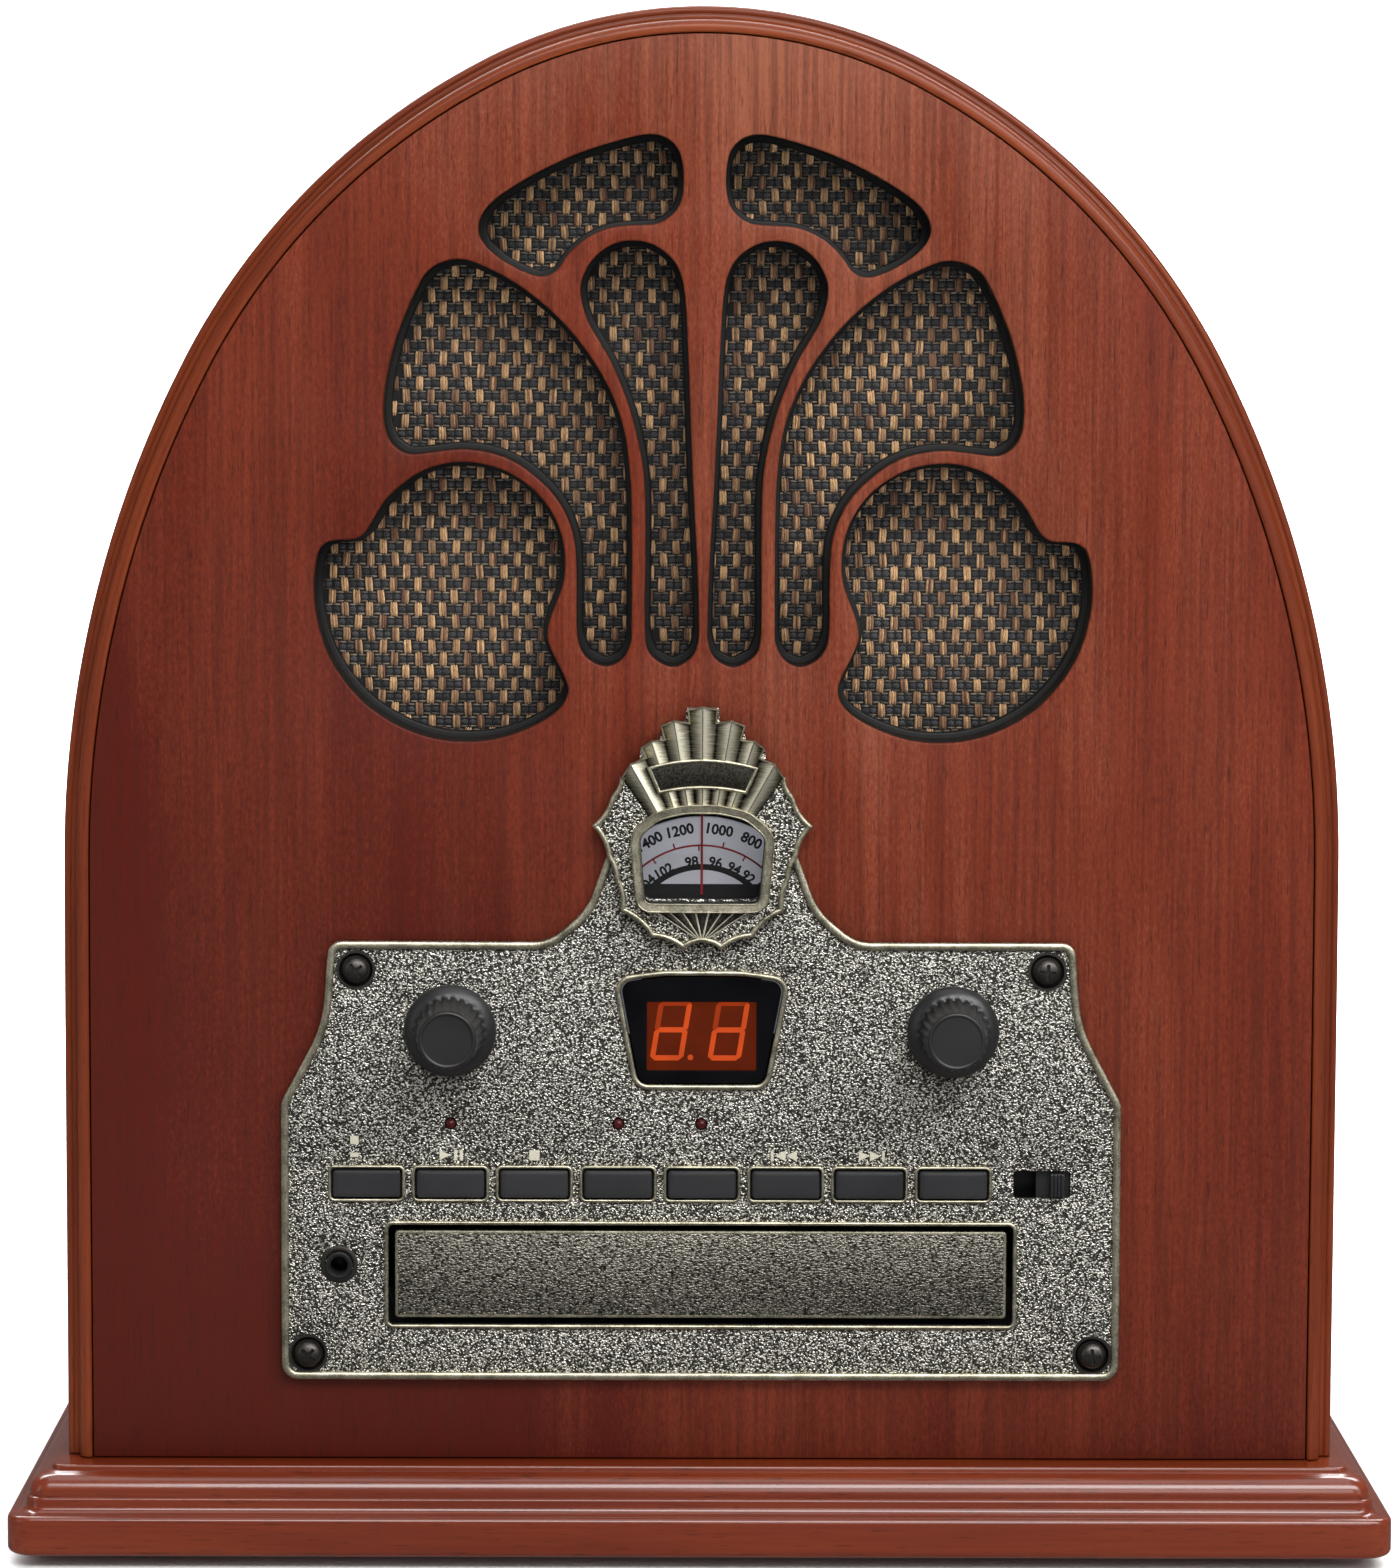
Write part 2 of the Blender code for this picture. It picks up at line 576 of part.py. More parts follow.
def make_dial(looks):
    center = (0.0, DISC_Z)
    profile = (
        (0.0, DISC_FRONT), (DISC_RADIUS, DISC_FRONT), (DISC_RADIUS, DISC_FRONT + 0.8),
        (DRUM_RADIUS + 1.5, DISC_FRONT + 1.0), (DRUM_RADIUS, CORD_FRONT - GAP),
        (DRUM_RADIUS, CORD_BACK + GAP), (DRUM_RADIUS + 1.5, CORD_BACK + 1.0),
        (DRUM_RADIUS + 1.5, CORD_BACK + 1.6), (SHAFT_RADIUS, CORD_BACK + 1.6),
        (SHAFT_RADIUS, BRACKET_FRONT - GAP), (0.0, BRACKET_FRONT - GAP),
    )
    disc = turned(profile, center, "Y", 30)
    piece("dial_disc", looks["dial_white"], [disc], pivot=(0.0, DISC_FRONT, DISC_Z), smooth=True)
    outer = belt_outline(DRUM_RADIUS + 1.3, PULLEY_RADIUS + 1.3)
    inner = belt_outline(DRUM_RADIUS + GAP, PULLEY_RADIUS + GAP)
    piece("dial_cord", looks["cord"], [prism(outer, [inner], CORD_FRONT, CORD_BACK)])


def belt_outline(drum_radius, pulley_radius):
    """The outline of a belt round the dial drum and the tuning pulley."""
    drum, pulley = (0.0, DISC_Z), (KNOB_X, KNOB_Z)
    span = math.hypot(pulley[0] - drum[0], pulley[1] - drum[1])
    heading = math.atan2(pulley[1] - drum[1], pulley[0] - drum[0])
    lean = math.acos((drum_radius - pulley_radius) / span)
    round_drum = arc(drum, drum_radius, heading + lean, heading + 2 * math.pi - lean, 14)
    round_pulley = arc(pulley, pulley_radius, heading - lean, heading + lean, 5)
    return round_drum + round_pulley


def make_tuner(looks):
    """The tuning capacitor on the U-shaped bracket that hangs behind the panel."""
    arm_x, arm_thick, back = 40.0, 2.0, BRACKET_FRONT + 1.5
    front = PANEL_BACK + GAP
    bracket = [
        (-arm_x, front), (-arm_x + arm_thick, front), (-arm_x + arm_thick, BRACKET_FRONT),
        (arm_x - arm_thick, BRACKET_FRONT), (arm_x - arm_thick, front), (arm_x, front),
        (arm_x, back), (-arm_x, back),
    ]
    bracket = prism(bracket, (), 133.0, 149.0, "Z")
    can = block(-11.0, 11.0, back - 0.5, back + 18.0, 122.0, 143.0)
    piece("tuning_capacitor", looks["steel"], [bracket, can])


def knob_solid(x, bore):
    """A knob with a sloping skirt and a tapered grip, with a blind bore from its back if one is asked for."""
    back = PLATE_FRONT - GAP
    front = back - 15.2
    profile = [(0.0, front), (5.6, front), (6.1, front + 0.4), (6.6, front + 1.0), (7.7, back - 2.6)]
    profile += [(9.0, back - 2.0), (9.8, back - 0.8), (9.8, back)]
    if bore:
        profile += [(bore, back), (bore, back - 9.0), (0.0, back - 9.0)]
    else:
        profile += [(SHAFT_RADIUS, back), (SHAFT_RADIUS, back + 10.5), (0.0, back + 10.5)]
    return turned(profile, (x, KNOB_Z), "Y", 20)


def make_knobs(looks):
    black = looks["black_plastic"]
    left = (-KNOB_X, PLATE_FRONT, KNOB_Z)
    right = (KNOB_X, PLATE_FRONT, KNOB_Z)
    piece("volume_knob", black, [knob_solid(-KNOB_X, 0.0)], pivot=left, smooth=True)
    piece("tuning_knob", black, [knob_solid(KNOB_X, SHAFT_RADIUS + GAP)], pivot=right, smooth=True)
    front = PLATE_BACK + GAP
    pot = ((3.5, front), (8.5, front), (8.5, front + 10.0), (3.5, front + 10.0))
    pot = turned(pot, (-KNOB_X, KNOB_Z), "Y", 16, closed=True)
    piece("volume_pot", looks["steel"], [pot], smooth=True)
    spindle = (
        (0.0, PLATE_FRONT - 8.9), (SHAFT_RADIUS, PLATE_FRONT - 8.9), (SHAFT_RADIUS, front), (6.0, front),
        (6.0, front + 1.4), (SHAFT_RADIUS, front + 1.4), (SHAFT_RADIUS, CORD_FRONT - 1.2),
        (PULLEY_RADIUS + 1.2, CORD_FRONT - 1.2), (PULLEY_RADIUS, CORD_FRONT - GAP),
        (PULLEY_RADIUS, CORD_BACK + GAP), (PULLEY_RADIUS + 1.2, CORD_BACK + 1.2), (0.0, CORD_BACK + 1.2),
    )
    spindle = turned(spindle, (KNOB_X, KNOB_Z), "Y", 12)
    piece("tuning_spindle", looks["steel"], [spindle], pivot=right, smooth=True)


def make_display(looks):
    window = grown(symmetrical(DISPLAY_HOLE_HALF), -GAP)
    piece("display_window", looks["smoked"], [prism(window, (), PLATE_FRONT + 0.5, PLATE_BACK - 0.1)])
    module = block(-14.0, 14.0, PLATE_BACK + 0.4, -76.0, 103.2, 121.2)
    piece("display_module", looks["board_black"], [module])


def make_indicators(looks):
    for number, place in enumerate(LED_PLACES, start=1):
        profile = ((0.0, -88.0), (0.7, -87.8), (LED_RADIUS, -87.3), (LED_RADIUS, -72.3), (0.0, -72.3))
        piece(f"indicator_led_{number}", looks["led_red"], [turned(profile, place, "Y", 10)], smooth=True)


def make_buttons(looks):
    half_x, half_z = BUTTON_SIZE[0] / 2, BUTTON_SIZE[1] / 2
    bevel, lip = 0.5, 0.9
    for index in range(BUTTON_COUNT):
        x = button_x(index)
        front = PLATE_FRONT - (0.2 if index == 0 else 0.7)
        flange = PLATE_BACK + GAP
        levels = (
            (half_x - bevel, half_z - bevel, front), (half_x, half_z, front + bevel),
            (half_x, half_z, flange), (half_x + lip, half_z + lip, flange),
            (half_x + lip, half_z + lip, flange + 1.0), (1.6, 1.6, flange + 1.0),
            (1.6, 1.6, -75.8 - BUTTON_TRAVEL),
        )
        sections = []
        for wide, high, y in levels:
            outline = rectangle(x - wide, x + wide, BUTTON_Z - high, BUTTON_Z + high)
            sections.append([(a, y, b) for a, b in outline])
        pivot = (x, PLATE_FRONT, BUTTON_Z)
        piece(f"button_{index + 1}", looks["black_plastic"], [loft(sections)], pivot=pivot)


def make_function_switch(looks):
    low, high = BUTTON_Z - 2.5, BUTTON_Z + 2.5
    flange = PLATE_BACK + GAP
    x = SWITCH_LEVER_X
    lever = block(x - 1.5, x + 1.5, PLATE_FRONT - 1.0, flange + 0.5, low, high)
    slide = block(x - 4.4, x + 3.2, flange, flange + 1.2, low - 0.8, high + 0.8)
    stem = block(x - 1.5, x + 1.5, flange + 1.0, -79.0, low + 1.0, high - 1.0)
    pivot = (x, PLATE_FRONT, BUTTON_Z)
    piece("function_slider", looks["black_plastic"], [slide, lever, stem], pivot=pivot)


def make_control_board(looks):
    front, back = -72.0, -70.4
    board = prism(rectangle(-80.0, 81.0, 73.5, 102.0), (), front, back)
    solids = [board]
    for index in range(BUTTON_COUNT):
        x = button_x(index)
        solids.append(block(x - 3.0, x + 3.0, -75.5, front + 0.5, BUTTON_Z - 3.0, BUTTON_Z + 3.0))
    solids.append(block(64.0, 80.0, -78.7, front + 0.5, BUTTON_Z - 4.0, BUTTON_Z + 4.0))
    piece("control_board", looks["circuit"], solids)


def make_headphone_jack(looks):
    front = PLATE_FRONT - GAP - 0.6
    profile = (
        (0.0, -77.0), (1.75, -77.0), (1.75, front), (2.9, front), (2.9, front + 0.6),
        (2.55, front + 0.6), (2.55, -74.5), (0.0, -74.5),
    )
    jack = turned(profile, (JACK_X, JACK_Z), "Y", 14)
    piece("headphone_jack", looks["black_plastic"], [jack], smooth=True)


# ------------------------------------------------------------------------------------------- disc drawer


def rack_outline():
    """The toothed strip under the tray, seen from above, with its teeth towards +X."""
    pitch = math.pi * GEAR_MODULE
    teeth = int((TRAY_BACK - 4.0 - (TRAY_FRONT + 8.0)) / pitch)
    root, tip, edge = RACK_X - 1.1, RACK_X + 0.9, RACK_X - 4.0
    # A tooth gap of the rack lies at the gear's height, because the gear has a tooth there.
    first = GEAR_Y - pitch * (math.floor((GEAR_Y - TRAY_FRONT - 8.0) / pitch) - 0.5)
    outline = [(edge, first - pitch / 2), (root, first - pitch / 2)]
    for index in range(teeth):
        y = first + index * pitch
        outline += [(root, y - 0.25 * pitch), (tip, y - 0.1 * pitch)]
        outline += [(tip, y + 0.1 * pitch), (root, y + 0.25 * pitch)]
    end = first + (teeth - 0.5) * pitch
    return outline + [(root, end), (edge, end)]


def gear_outline():
    """A small gear with a tooth pointing at the rack, along -X."""
    center = (RACK_X + GEAR_RADIUS, GEAR_Y)
    pitch_turn = 2 * math.pi / GEAR_TEETH
    outline = []
    for index in range(GEAR_TEETH):
        middle = math.pi + index * pitch_turn
        for radius, share in ((7.7, -0.26), (9.9, -0.08), (9.9, 0.08), (7.7, 0.26)):
            turn = middle + share * pitch_turn
            outline.append((center[0] + radius * math.cos(turn), center[1] + radius * math.sin(turn)))
    return outline


def make_tray(looks):
    low, high = TRAY_Z
    slab = block(-TRAY_HALF_WIDTH, TRAY_HALF_WIDTH, TRAY_FRONT, TRAY_BACK, low, high)
    rack = prism(rack_outline(), (), *RACK_Z, "Z")
    well = turned(
        ((0.0, WELL_FLOOR), (WELL_RADIUS, WELL_FLOOR), (WELL_RADIUS, high + 1.0), (0.0, high + 1.0)),
        (0.0, WELL_Y), "Z", 40,
    )
    slot = block(-TRAY_SLOT_HALF, TRAY_SLOT_HALF, WELL_Y - 18.0, TRAY_BACK + 1.0, low - 1.0, WELL_FLOOR + 1.0)
    notch = block(-30.0, 30.0, WELL_Y + 40.0, TRAY_BACK + 1.0, WELL_FLOOR, high + 1.0)
    pivot = (0.0, TRAY_FRONT, low)
    piece("cd_tray", looks["mechanism"], [slab, rack], [well, slot, notch], pivot=pivot)
    half = DRAWER_HALF_WIDTH
    face = PLATE_FRONT + 1.0
    edge = 0.6
    sections = []
    for inset, y in ((edge, face), (0.0, face + edge), (0.0, TRAY_FRONT - GAP)):
        outline = rectangle(-half + inset, half - inset, DRAWER_Z[0] + inset, DRAWER_Z[1] - inset)
        sections.append([(a, y, b) for a, b in outline])
    piece("tray_front", looks["drawer_metal"], [loft(sections)], pivot=pivot)


def make_tray_gear(looks):
    center = (RACK_X + GEAR_RADIUS, GEAR_Y)
    gear = prism(gear_outline(), (), RACK_Z[0], RACK_Z[1] - 0.7, "Z")
    shaft = turned(((0.0, 40.0), (3.0, 40.0), (3.0, 51.5), (0.0, 51.5)), center, "Z", 12)
    piece("tray_gear", looks["white_plastic"], [gear, shaft], pivot=(*center, RACK_Z[0]))


def make_chassis(looks):
    half, wall = CHASSIS_HALF_WIDTH, CHASSIS_WALL
    rail_low, rail_high = 50.0, TRAY_Z[0] - GAP
    inner = half - wall
    ring = prism(
        rectangle(-half, half, -half, half), [rectangle(-inner, inner, -inner, inner)],
        CABINET_FOOT, rail_low, "Z",
    )
    solids = [ring]
    for side in (-1, 1):
        near, far = sorted((side * 58.0, side * half))
        solids.append(block(near, far, -half, half, rail_low - 1.0, rail_high))
        near, far = sorted((side * inner, side * half))
        solids.append(block(near, far, BRIDGE_Y[0], BRIDGE_Y[1], rail_high - 1.0, BRIDGE_Z[0] + 1.0))
    bridge = prism(
        rectangle(-half, half, *BRIDGE_Y), [circle((0.0, WELL_Y), CLAMP_HOLE_RADIUS, 24)], *BRIDGE_Z, "Z"
    )
    solids.append(bridge)
    # The gear's bearing is a shelf across the front wall.
    gear_x = RACK_X + GEAR_RADIUS
    shelf = block(gear_x - 9.0, gear_x + 9.0, -half + 1.0, GEAR_Y + 8.0, 36.0, 39.7)
    solids.append(shelf)
    piece("cd_chassis", looks["mechanism"], solids)


def make_traverse(looks):
    """The tilting deck under the disc, with its spindle motor, the platter, the pickup and the clamp."""
    low, high = 44.0, 46.4
    slide_half, window_front, window_back = 17.0, -2.0, 47.0
    window = rectangle(-slide_half, slide_half, window_front, window_back)
    deck = prism(rectangle(-30.0, 30.0, -38.0, 52.0), [window], low, high, "Z")
    motor = turned(
        ((0.0, 33.0), (12.0, 33.0), (12.0, low + 0.5), (0.0, low + 0.5)), (0.0, WELL_Y), "Z", 20
    )
    solids = [deck, motor]
    for side in (-1, 1):
        near, far = sorted((side * (slide_half - 0.5), side * (slide_half + 2.0)))
        solids.append(block(near, far, window_front, window_back, high - 0.4, high + 1.4))
    piece("cd_traverse", looks["steel"], solids, pivot=TRAVERSE_HINGE)
    platter = (
        (0.0, high + GAP), (2.2, high + GAP), (2.2, 56.8), (15.0, 57.0), (15.0, 58.4), (7.4, 58.4),
        (7.2, 59.6), (5.0, 60.9), (0.0, 60.9),
    )
    turntable = turned(platter, (0.0, WELL_Y), "Z", 16)
    piece("turntable", looks["mechanism"], [turntable], pivot=(0.0, WELL_Y, 57.0), smooth=True)
    body = block(-16.0, 16.0, -1.0, 13.0, low - 4.0, high - 1.2)
    head = block(-14.0, 14.0, 0.0, 12.0, high - 2.0, 51.0)
    lens = turned(((0.0, 50.5), (3.6, 50.5), (3.6, 52.4), (0.0, 52.4)), (0.0, 5.0), "Z", 16)
    piece("laser_pickup", looks["mechanism"], [body, head, lens], pivot=(0.0, 6.0, high))
    clamp = (
        (0.0, 62.0), (11.0, 62.0), (11.4, 62.6), (11.4, BRIDGE_Z[1] + GAP), (14.5, BRIDGE_Z[1] + GAP),
        (14.5, BRIDGE_Z[1] + 2.0), (6.0, BRIDGE_Z[1] + 2.6), (0.0, BRIDGE_Z[1] + 2.6),
    )
    clamp = turned(clamp, (0.0, WELL_Y), "Z", 16)
    piece("disc_clamp", looks["white_plastic"], [clamp], pivot=(0.0, WELL_Y, BRIDGE_Z[1]), smooth=True)


# --------------------------------------------------------------------------------------------- power side


def make_electronics(looks):
    floor = CABINET_FOOT
    core = block(-116.0, -76.0, 34.0, 62.0, floor, floor + 33.0)
    coil = block(-106.0, -86.0, 24.0, 72.0, floor + 7.0, floor + 26.0)
    piece("transformer", looks["iron"], [core, coil])
    board = block(76.0, 121.0, -50.0, 62.0, floor + 9.0, floor + 10.6)
    solids = [board]
    for x in (80.0, 117.0):
        for y in (-46.0, 58.0):
            solids.append(block(x - 2.5, x + 2.5, y - 2.5, y + 2.5, floor, floor + 9.5))
    solids.append(block(80.0, 117.0, 20.0, 24.0, floor + 10.0, floor + 38.0))
    solids.append(block(84.0, 100.0, -30.0, -14.0, floor + 10.0, floor + 14.0))
    solids.append(turned(
        ((0.0, floor + 10.0), (7.0, floor + 10.0), (7.0, floor + 34.0), (0.0, floor + 34.0)),
        (108.0, 42.0), "Z", 16,
    ))
    piece("main_board", looks["circuit"], solids)


def make_mains_inlet(looks):
    x, z = 60.0, 45.0
    body = block(x - 9.5, x + 9.5, 82.0, COVER_BACK + 1.0, z - 6.5, z + 6.5)
    seat = COVER_BACK + GAP
    flange = block(x - 14.0, x + 14.0, seat, seat + 1.8, z - 9.0, z + 9.0)
    recess = block(x - 7.4, x + 7.4, 87.0, seat + 3.0, z - 4.2, z + 4.2)
    inlet = piece("mains_inlet", looks["black_plastic"], [flange, body], [recess])
    for side in (-1, 1):
        add_boolean(inlet, prism(circle((x + side * 4.3, z), 1.2, 10), (), 84.0, 97.0), "UNION")


def build():
    for old in list(bpy.data.objects):
        bpy.data.objects.remove(old)
    looks = make_looks()
    make_base(looks)
    make_feet(looks)
    make_front_panel(looks)
    make_arch_moulding(looks)
    make_shell(looks)
    make_rear_cover(looks)
    cloth_back = make_grille_back(looks)
    make_speakers(looks, cloth_back + GAP)
    make_faceplate(looks)
    make_badge(looks)
    make_dial(looks)
    make_tuner(looks)
    make_knobs(looks)
    make_display(looks)
    make_indicators(looks)
    make_buttons(looks)
    make_function_switch(looks)
    make_control_board(looks)
    make_headphone_jack(looks)
    make_tray(looks)
    make_tray_gear(looks)
    make_chassis(looks)
    make_traverse(looks)
    make_electronics(looks)
    make_mains_inlet(looks)


build()
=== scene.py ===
"""The looks of the cathedral radio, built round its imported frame.

Helpers work in millimetres, in the frame's own axes: the front faces -Y, +X is to the right and +Z is up.
MM turns them into metres when an object is made. Outlines are lists of (x, z).
"""

import json
import math
import random

import bmesh
import bpy
from mathutils import Matrix, Vector


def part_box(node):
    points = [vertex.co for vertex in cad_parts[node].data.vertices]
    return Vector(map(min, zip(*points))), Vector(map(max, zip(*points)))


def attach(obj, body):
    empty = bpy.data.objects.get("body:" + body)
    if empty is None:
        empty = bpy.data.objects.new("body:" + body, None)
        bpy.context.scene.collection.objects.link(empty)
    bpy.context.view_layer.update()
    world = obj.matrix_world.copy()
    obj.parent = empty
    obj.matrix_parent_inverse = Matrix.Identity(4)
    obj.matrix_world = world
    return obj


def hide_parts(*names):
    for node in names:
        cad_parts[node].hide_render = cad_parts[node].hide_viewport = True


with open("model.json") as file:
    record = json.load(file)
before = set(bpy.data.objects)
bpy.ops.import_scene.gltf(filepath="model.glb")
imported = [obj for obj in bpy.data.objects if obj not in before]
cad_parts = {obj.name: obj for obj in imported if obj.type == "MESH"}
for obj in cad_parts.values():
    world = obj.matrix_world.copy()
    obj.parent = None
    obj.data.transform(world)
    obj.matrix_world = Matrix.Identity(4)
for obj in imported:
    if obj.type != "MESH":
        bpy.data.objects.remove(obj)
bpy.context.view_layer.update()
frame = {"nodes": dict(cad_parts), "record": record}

MM = 0.001
NODES = frame["nodes"]
BODY_OF = {node: body for body, nodes in frame["record"]["behaviour"]["bodies"].items() for node in nodes}

# The camera's place and the directions of its right-hand and downward image axes.
CAMERA_PLACE = Vector((-0.0076249, -1.18362491, 0.26942008))
CAMERA_RIGHT = Vector((0.99997415, -0.00610057, 0.00380437))
CAMERA_DOWN = Vector((0.00321298, -0.09417755, -0.99555023))
CAMERA_LENS = 119.9
CAMERA_SENSOR = 36.0

# Depths of the surfaces that the printed and cast details are built on.
PANEL_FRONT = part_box("front_panel")[0].y / MM
PANEL_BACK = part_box("front_panel")[1].y / MM
PLATE_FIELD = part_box("faceplate")[0].y / MM + 0.5
PLATE_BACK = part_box("faceplate")[1].y / MM
PLATE_RIM = PLATE_FIELD - 0.75
BADGE_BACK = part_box("dial_badge")[1].y / MM
BADGE_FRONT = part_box("dial_badge")[0].y / MM
SHELL_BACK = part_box("cabinet_shell")[1].y / MM
DIAL_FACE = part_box("dial_disc")[0].y / MM

# Arch moulding: places across it, measured outwards from the panel's edge.
ARCH_EDGE = 6.0
SHELL_WALL = 10.0


# ------------------------------------------------------------------------------------------ outlines


def corners_of(node):
    low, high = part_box(node)
    return low / MM, high / MM


def middle_of(node):
    low, high = corners_of(node)
    return (low + high) / 2


def center_of(node):
    """The (x, z) of a node's middle."""
    low, high = corners_of(node)
    return (low.x + high.x) / 2, (low.z + high.z) / 2


def signed_area(outline):
    """The area inside an outline, over zero when it runs anticlockwise."""
    return sum(a[0] * b[1] - b[0] * a[1] for a, b in zip(outline, outline[1:] + outline[:1])) / 2


def face_loops(node, depth=None):
    """Outlines of a CAD node's flat faces at one depth, the widest first and all anticlockwise."""
    mesh = NODES[node].data
    points = [tuple(round(value / MM, 3) for value in vert.co) for vert in mesh.vertices]
    if depth is None:
        depth = min(point[1] for point in points)
    following = {}
    edges = set()
    for polygon in mesh.polygons:
        corners = [points[index] for index in polygon.vertices]
        if max(abs(corner[1] - depth) for corner in corners) < 0.01:
            edges |= set(zip(corners, corners[1:] + corners[:1]))
    for start, end in edges:
        if (end, start) not in edges:
            following[start] = end
    loops = []
    while following:
        first = min(following)
        loop = [first]
        spot = following.pop(first)
        while spot != first:
            loop.append(spot)
            spot = following.pop(spot)
        outline = [(x, z) for x, _, z in loop]
        loops.append(outline if signed_area(outline) > 0 else outline[::-1])
    return sorted(loops, key=signed_area, reverse=True)


def refined(points, longest=1.5, closed=True, sharp=math.radians(34.0)):
    """The same outline in shorter edges that curve through its points. A sharp corner stays a corner."""
    count = len(points)
    spots = [Vector(point) for point in points]
    edges = [spots[(index + 1) % count] - spots[index] for index in range(count)]
    outline = []
    for index in range(count if closed else count - 1):
        edge = edges[index]
        before, after = edges[index - 1], edges[(index + 1) % count]
        start = end = edge.normalized()
        if (closed or index > 0) and before.angle(edge) < sharp:
            start = (before + edge).normalized()
        if (closed or index < count - 2) and edge.angle(after) < sharp:
            end = (edge + after).normalized()
        steps = max(1, math.ceil(edge.length / longest))
        for step in range(steps):
            t = step / steps
            lean = start * (t**3 - 2 * t**2 + t) + end * (t**3 - t**2)
            spot = spots[index] + edge * (3 * t**2 - 2 * t**3) + lean * edge.length
            outline.append((spot.x, spot.y))
    if not closed:
        outline.append(tuple(spots[-1]))
    return outline


def offset(outline, distance, closed=True):
    """The outline moved outwards, with mitred corners. Out is to the right of an open one's run."""
    count = len(outline)
    moved = []
    for index, (x, z) in enumerate(outline):
        here = Vector((x, z))
        before = Vector(outline[index - 1]) if closed or index > 0 else None
        after = Vector(outline[(index + 1) % count]) if closed or index < count - 1 else None
        first = (here - before).normalized() if before else (after - here).normalized()
        second = (after - here).normalized() if after else first
        out = Vector((first.y + second.y, -first.x - second.x))
        out = out.normalized() if out.length > 1e-6 else Vector((first.y, -first.x))
        stretch = 1.0 / max(0.45, out.dot(Vector((first.y, -first.x))))
        moved.append((x + out.x * distance * stretch, z + out.y * distance * stretch))
    return moved


def arc(center, radius, start, end, steps):
    """Points on an arc, both ends included. Angles are in degrees."""
    turns = [math.radians(start + (end - start) * step / steps) for step in range(steps + 1)]
    return [(center[0] + radius * math.cos(turn), center[1] + radius * math.sin(turn)) for turn in turns]


def raised(base, profile):
    """A turned profile whose second values are measured from a base."""
    return [(radius, base + rise) for radius, rise in profile]


def circle(center, radius, segments=48):
    return arc(center, radius, 0.0, 360.0, segments)[:-1]


def rounded_box(low_x, high_x, low_z, high_z, radius, steps=5):
    """A rectangle with rounded corners, anticlockwise."""
    outline = arc((high_x - radius, low_z + radius), radius, -90.0, 0.0, steps)
    outline += arc((high_x - radius, high_z - radius), radius, 0.0, 90.0, steps)
    outline += arc((low_x + radius, high_z - radius), radius, 90.0, 180.0, steps)
    return outline + arc((low_x + radius, low_z + radius), radius, 180.0, 270.0, steps)


def contains(outline, x, z):
    inside = False
    for (x1, z1), (x2, z2) in zip(outline, outline[1:] + outline[:1]):
        if (z1 > z) != (z2 > z) and x < (x2 - x1) * (z - z1) / (z2 - z1) + x1:
            inside = not inside
    return inside


# -------------------------------------------------------------------------------------------- solids


def ring_of(solid, outline, y):
    return [solid.verts.new((x, y, z)) for x, z in outline]


def skin(solid, first, second, closed=True, material=0):
    """Faces between two rings with the same number of points."""
    count = len(first)
    for index in range(count if closed else count - 1):
        following = (index + 1) % count
        face = solid.faces.new((first[index], first[following], second[following], second[index]))
        face.material_index = material


def filled(solid, rings, material=0):
    """A flat face bounded by the first ring, with the other rings as holes in it."""
    edges = []
    for ring in rings:
        for a, b in zip(ring, ring[1:] + ring[:1]):
            edges.append(solid.edges.get((a, b)) or solid.edges.new((a, b)))
    for face in bmesh.ops.triangle_fill(solid, use_beauty=True, edges=edges)["geom"]:
        if isinstance(face, bmesh.types.BMFace):
            face.material_index = material


def slab(outline, holes, front, back, edge=0.3, hole_edge=None, hole_wall=0, steps=3):
    """A plate with holes, its front edges rounded. Faces inside a hole take the material hole_wall."""
    solid = bmesh.new()
    fronts, backs = [], []
    for index, loop in enumerate((outline, *holes)):
        side = -1 if index == 0 else 1
        round_by = edge if index == 0 or hole_edge is None else hole_edge
        rings = []
        for step in range(steps + 1):
            turn = math.pi / 2 * step / steps
            shift = side * round_by * (1 - math.sin(turn))
            rings.append(ring_of(solid, offset(loop, shift), front + round_by * (1 - math.cos(turn))))
        rings.append(ring_of(solid, loop, back))
        for step, (a, b) in enumerate(zip(rings, rings[1:])):
            wall = index > 0 and step == steps
            skin(solid, a, b, material=hole_wall if wall else 0)
        fronts.append(rings[0])
        backs.append(rings[-1])
    filled(solid, fronts)
    filled(solid, backs, hole_wall if holes else 0)
    return solid


def swept(path, profile, closed=True):
    """A bar that follows an outline. Its profile is a closed list of (distance outwards, depth)."""
    solid = bmesh.new()
    rings = [ring_of(solid, offset(path, out, closed), y) for out, y in profile]
    for index, ring in enumerate(rings):
        skin(solid, ring, rings[(index + 1) % len(rings)], closed)
    if not closed:
        solid.faces.new([ring[0] for ring in rings])
        solid.faces.new([ring[-1] for ring in rings])
    return solid


def loft(sections):
    """A closed solid through a list of sections with the same number of points, in (x, y, z)."""
    solid = bmesh.new()
    rings = [[solid.verts.new(point) for point in section] for section in sections]
    for first, second in zip(rings, rings[1:]):
        skin(solid, first, second)
    solid.faces.new(rings[0])
    solid.faces.new(rings[-1])
    return solid


def skin_around(solid, rings, segments, closed=False):
    """Faces between successive rings of a turned solid. A ring of one point is a pole."""
    pairs = list(zip(rings, rings[1:])) + ([(rings[-1], rings[0])] if closed else [])
    for first, second in pairs:
        for index in range(segments):
            corners = [first[index % len(first)], first[(index + 1) % len(first)]]
            corners += [second[(index + 1) % len(second)], second[index % len(second)]]
            solid.faces.new(list(dict.fromkeys(corners)))


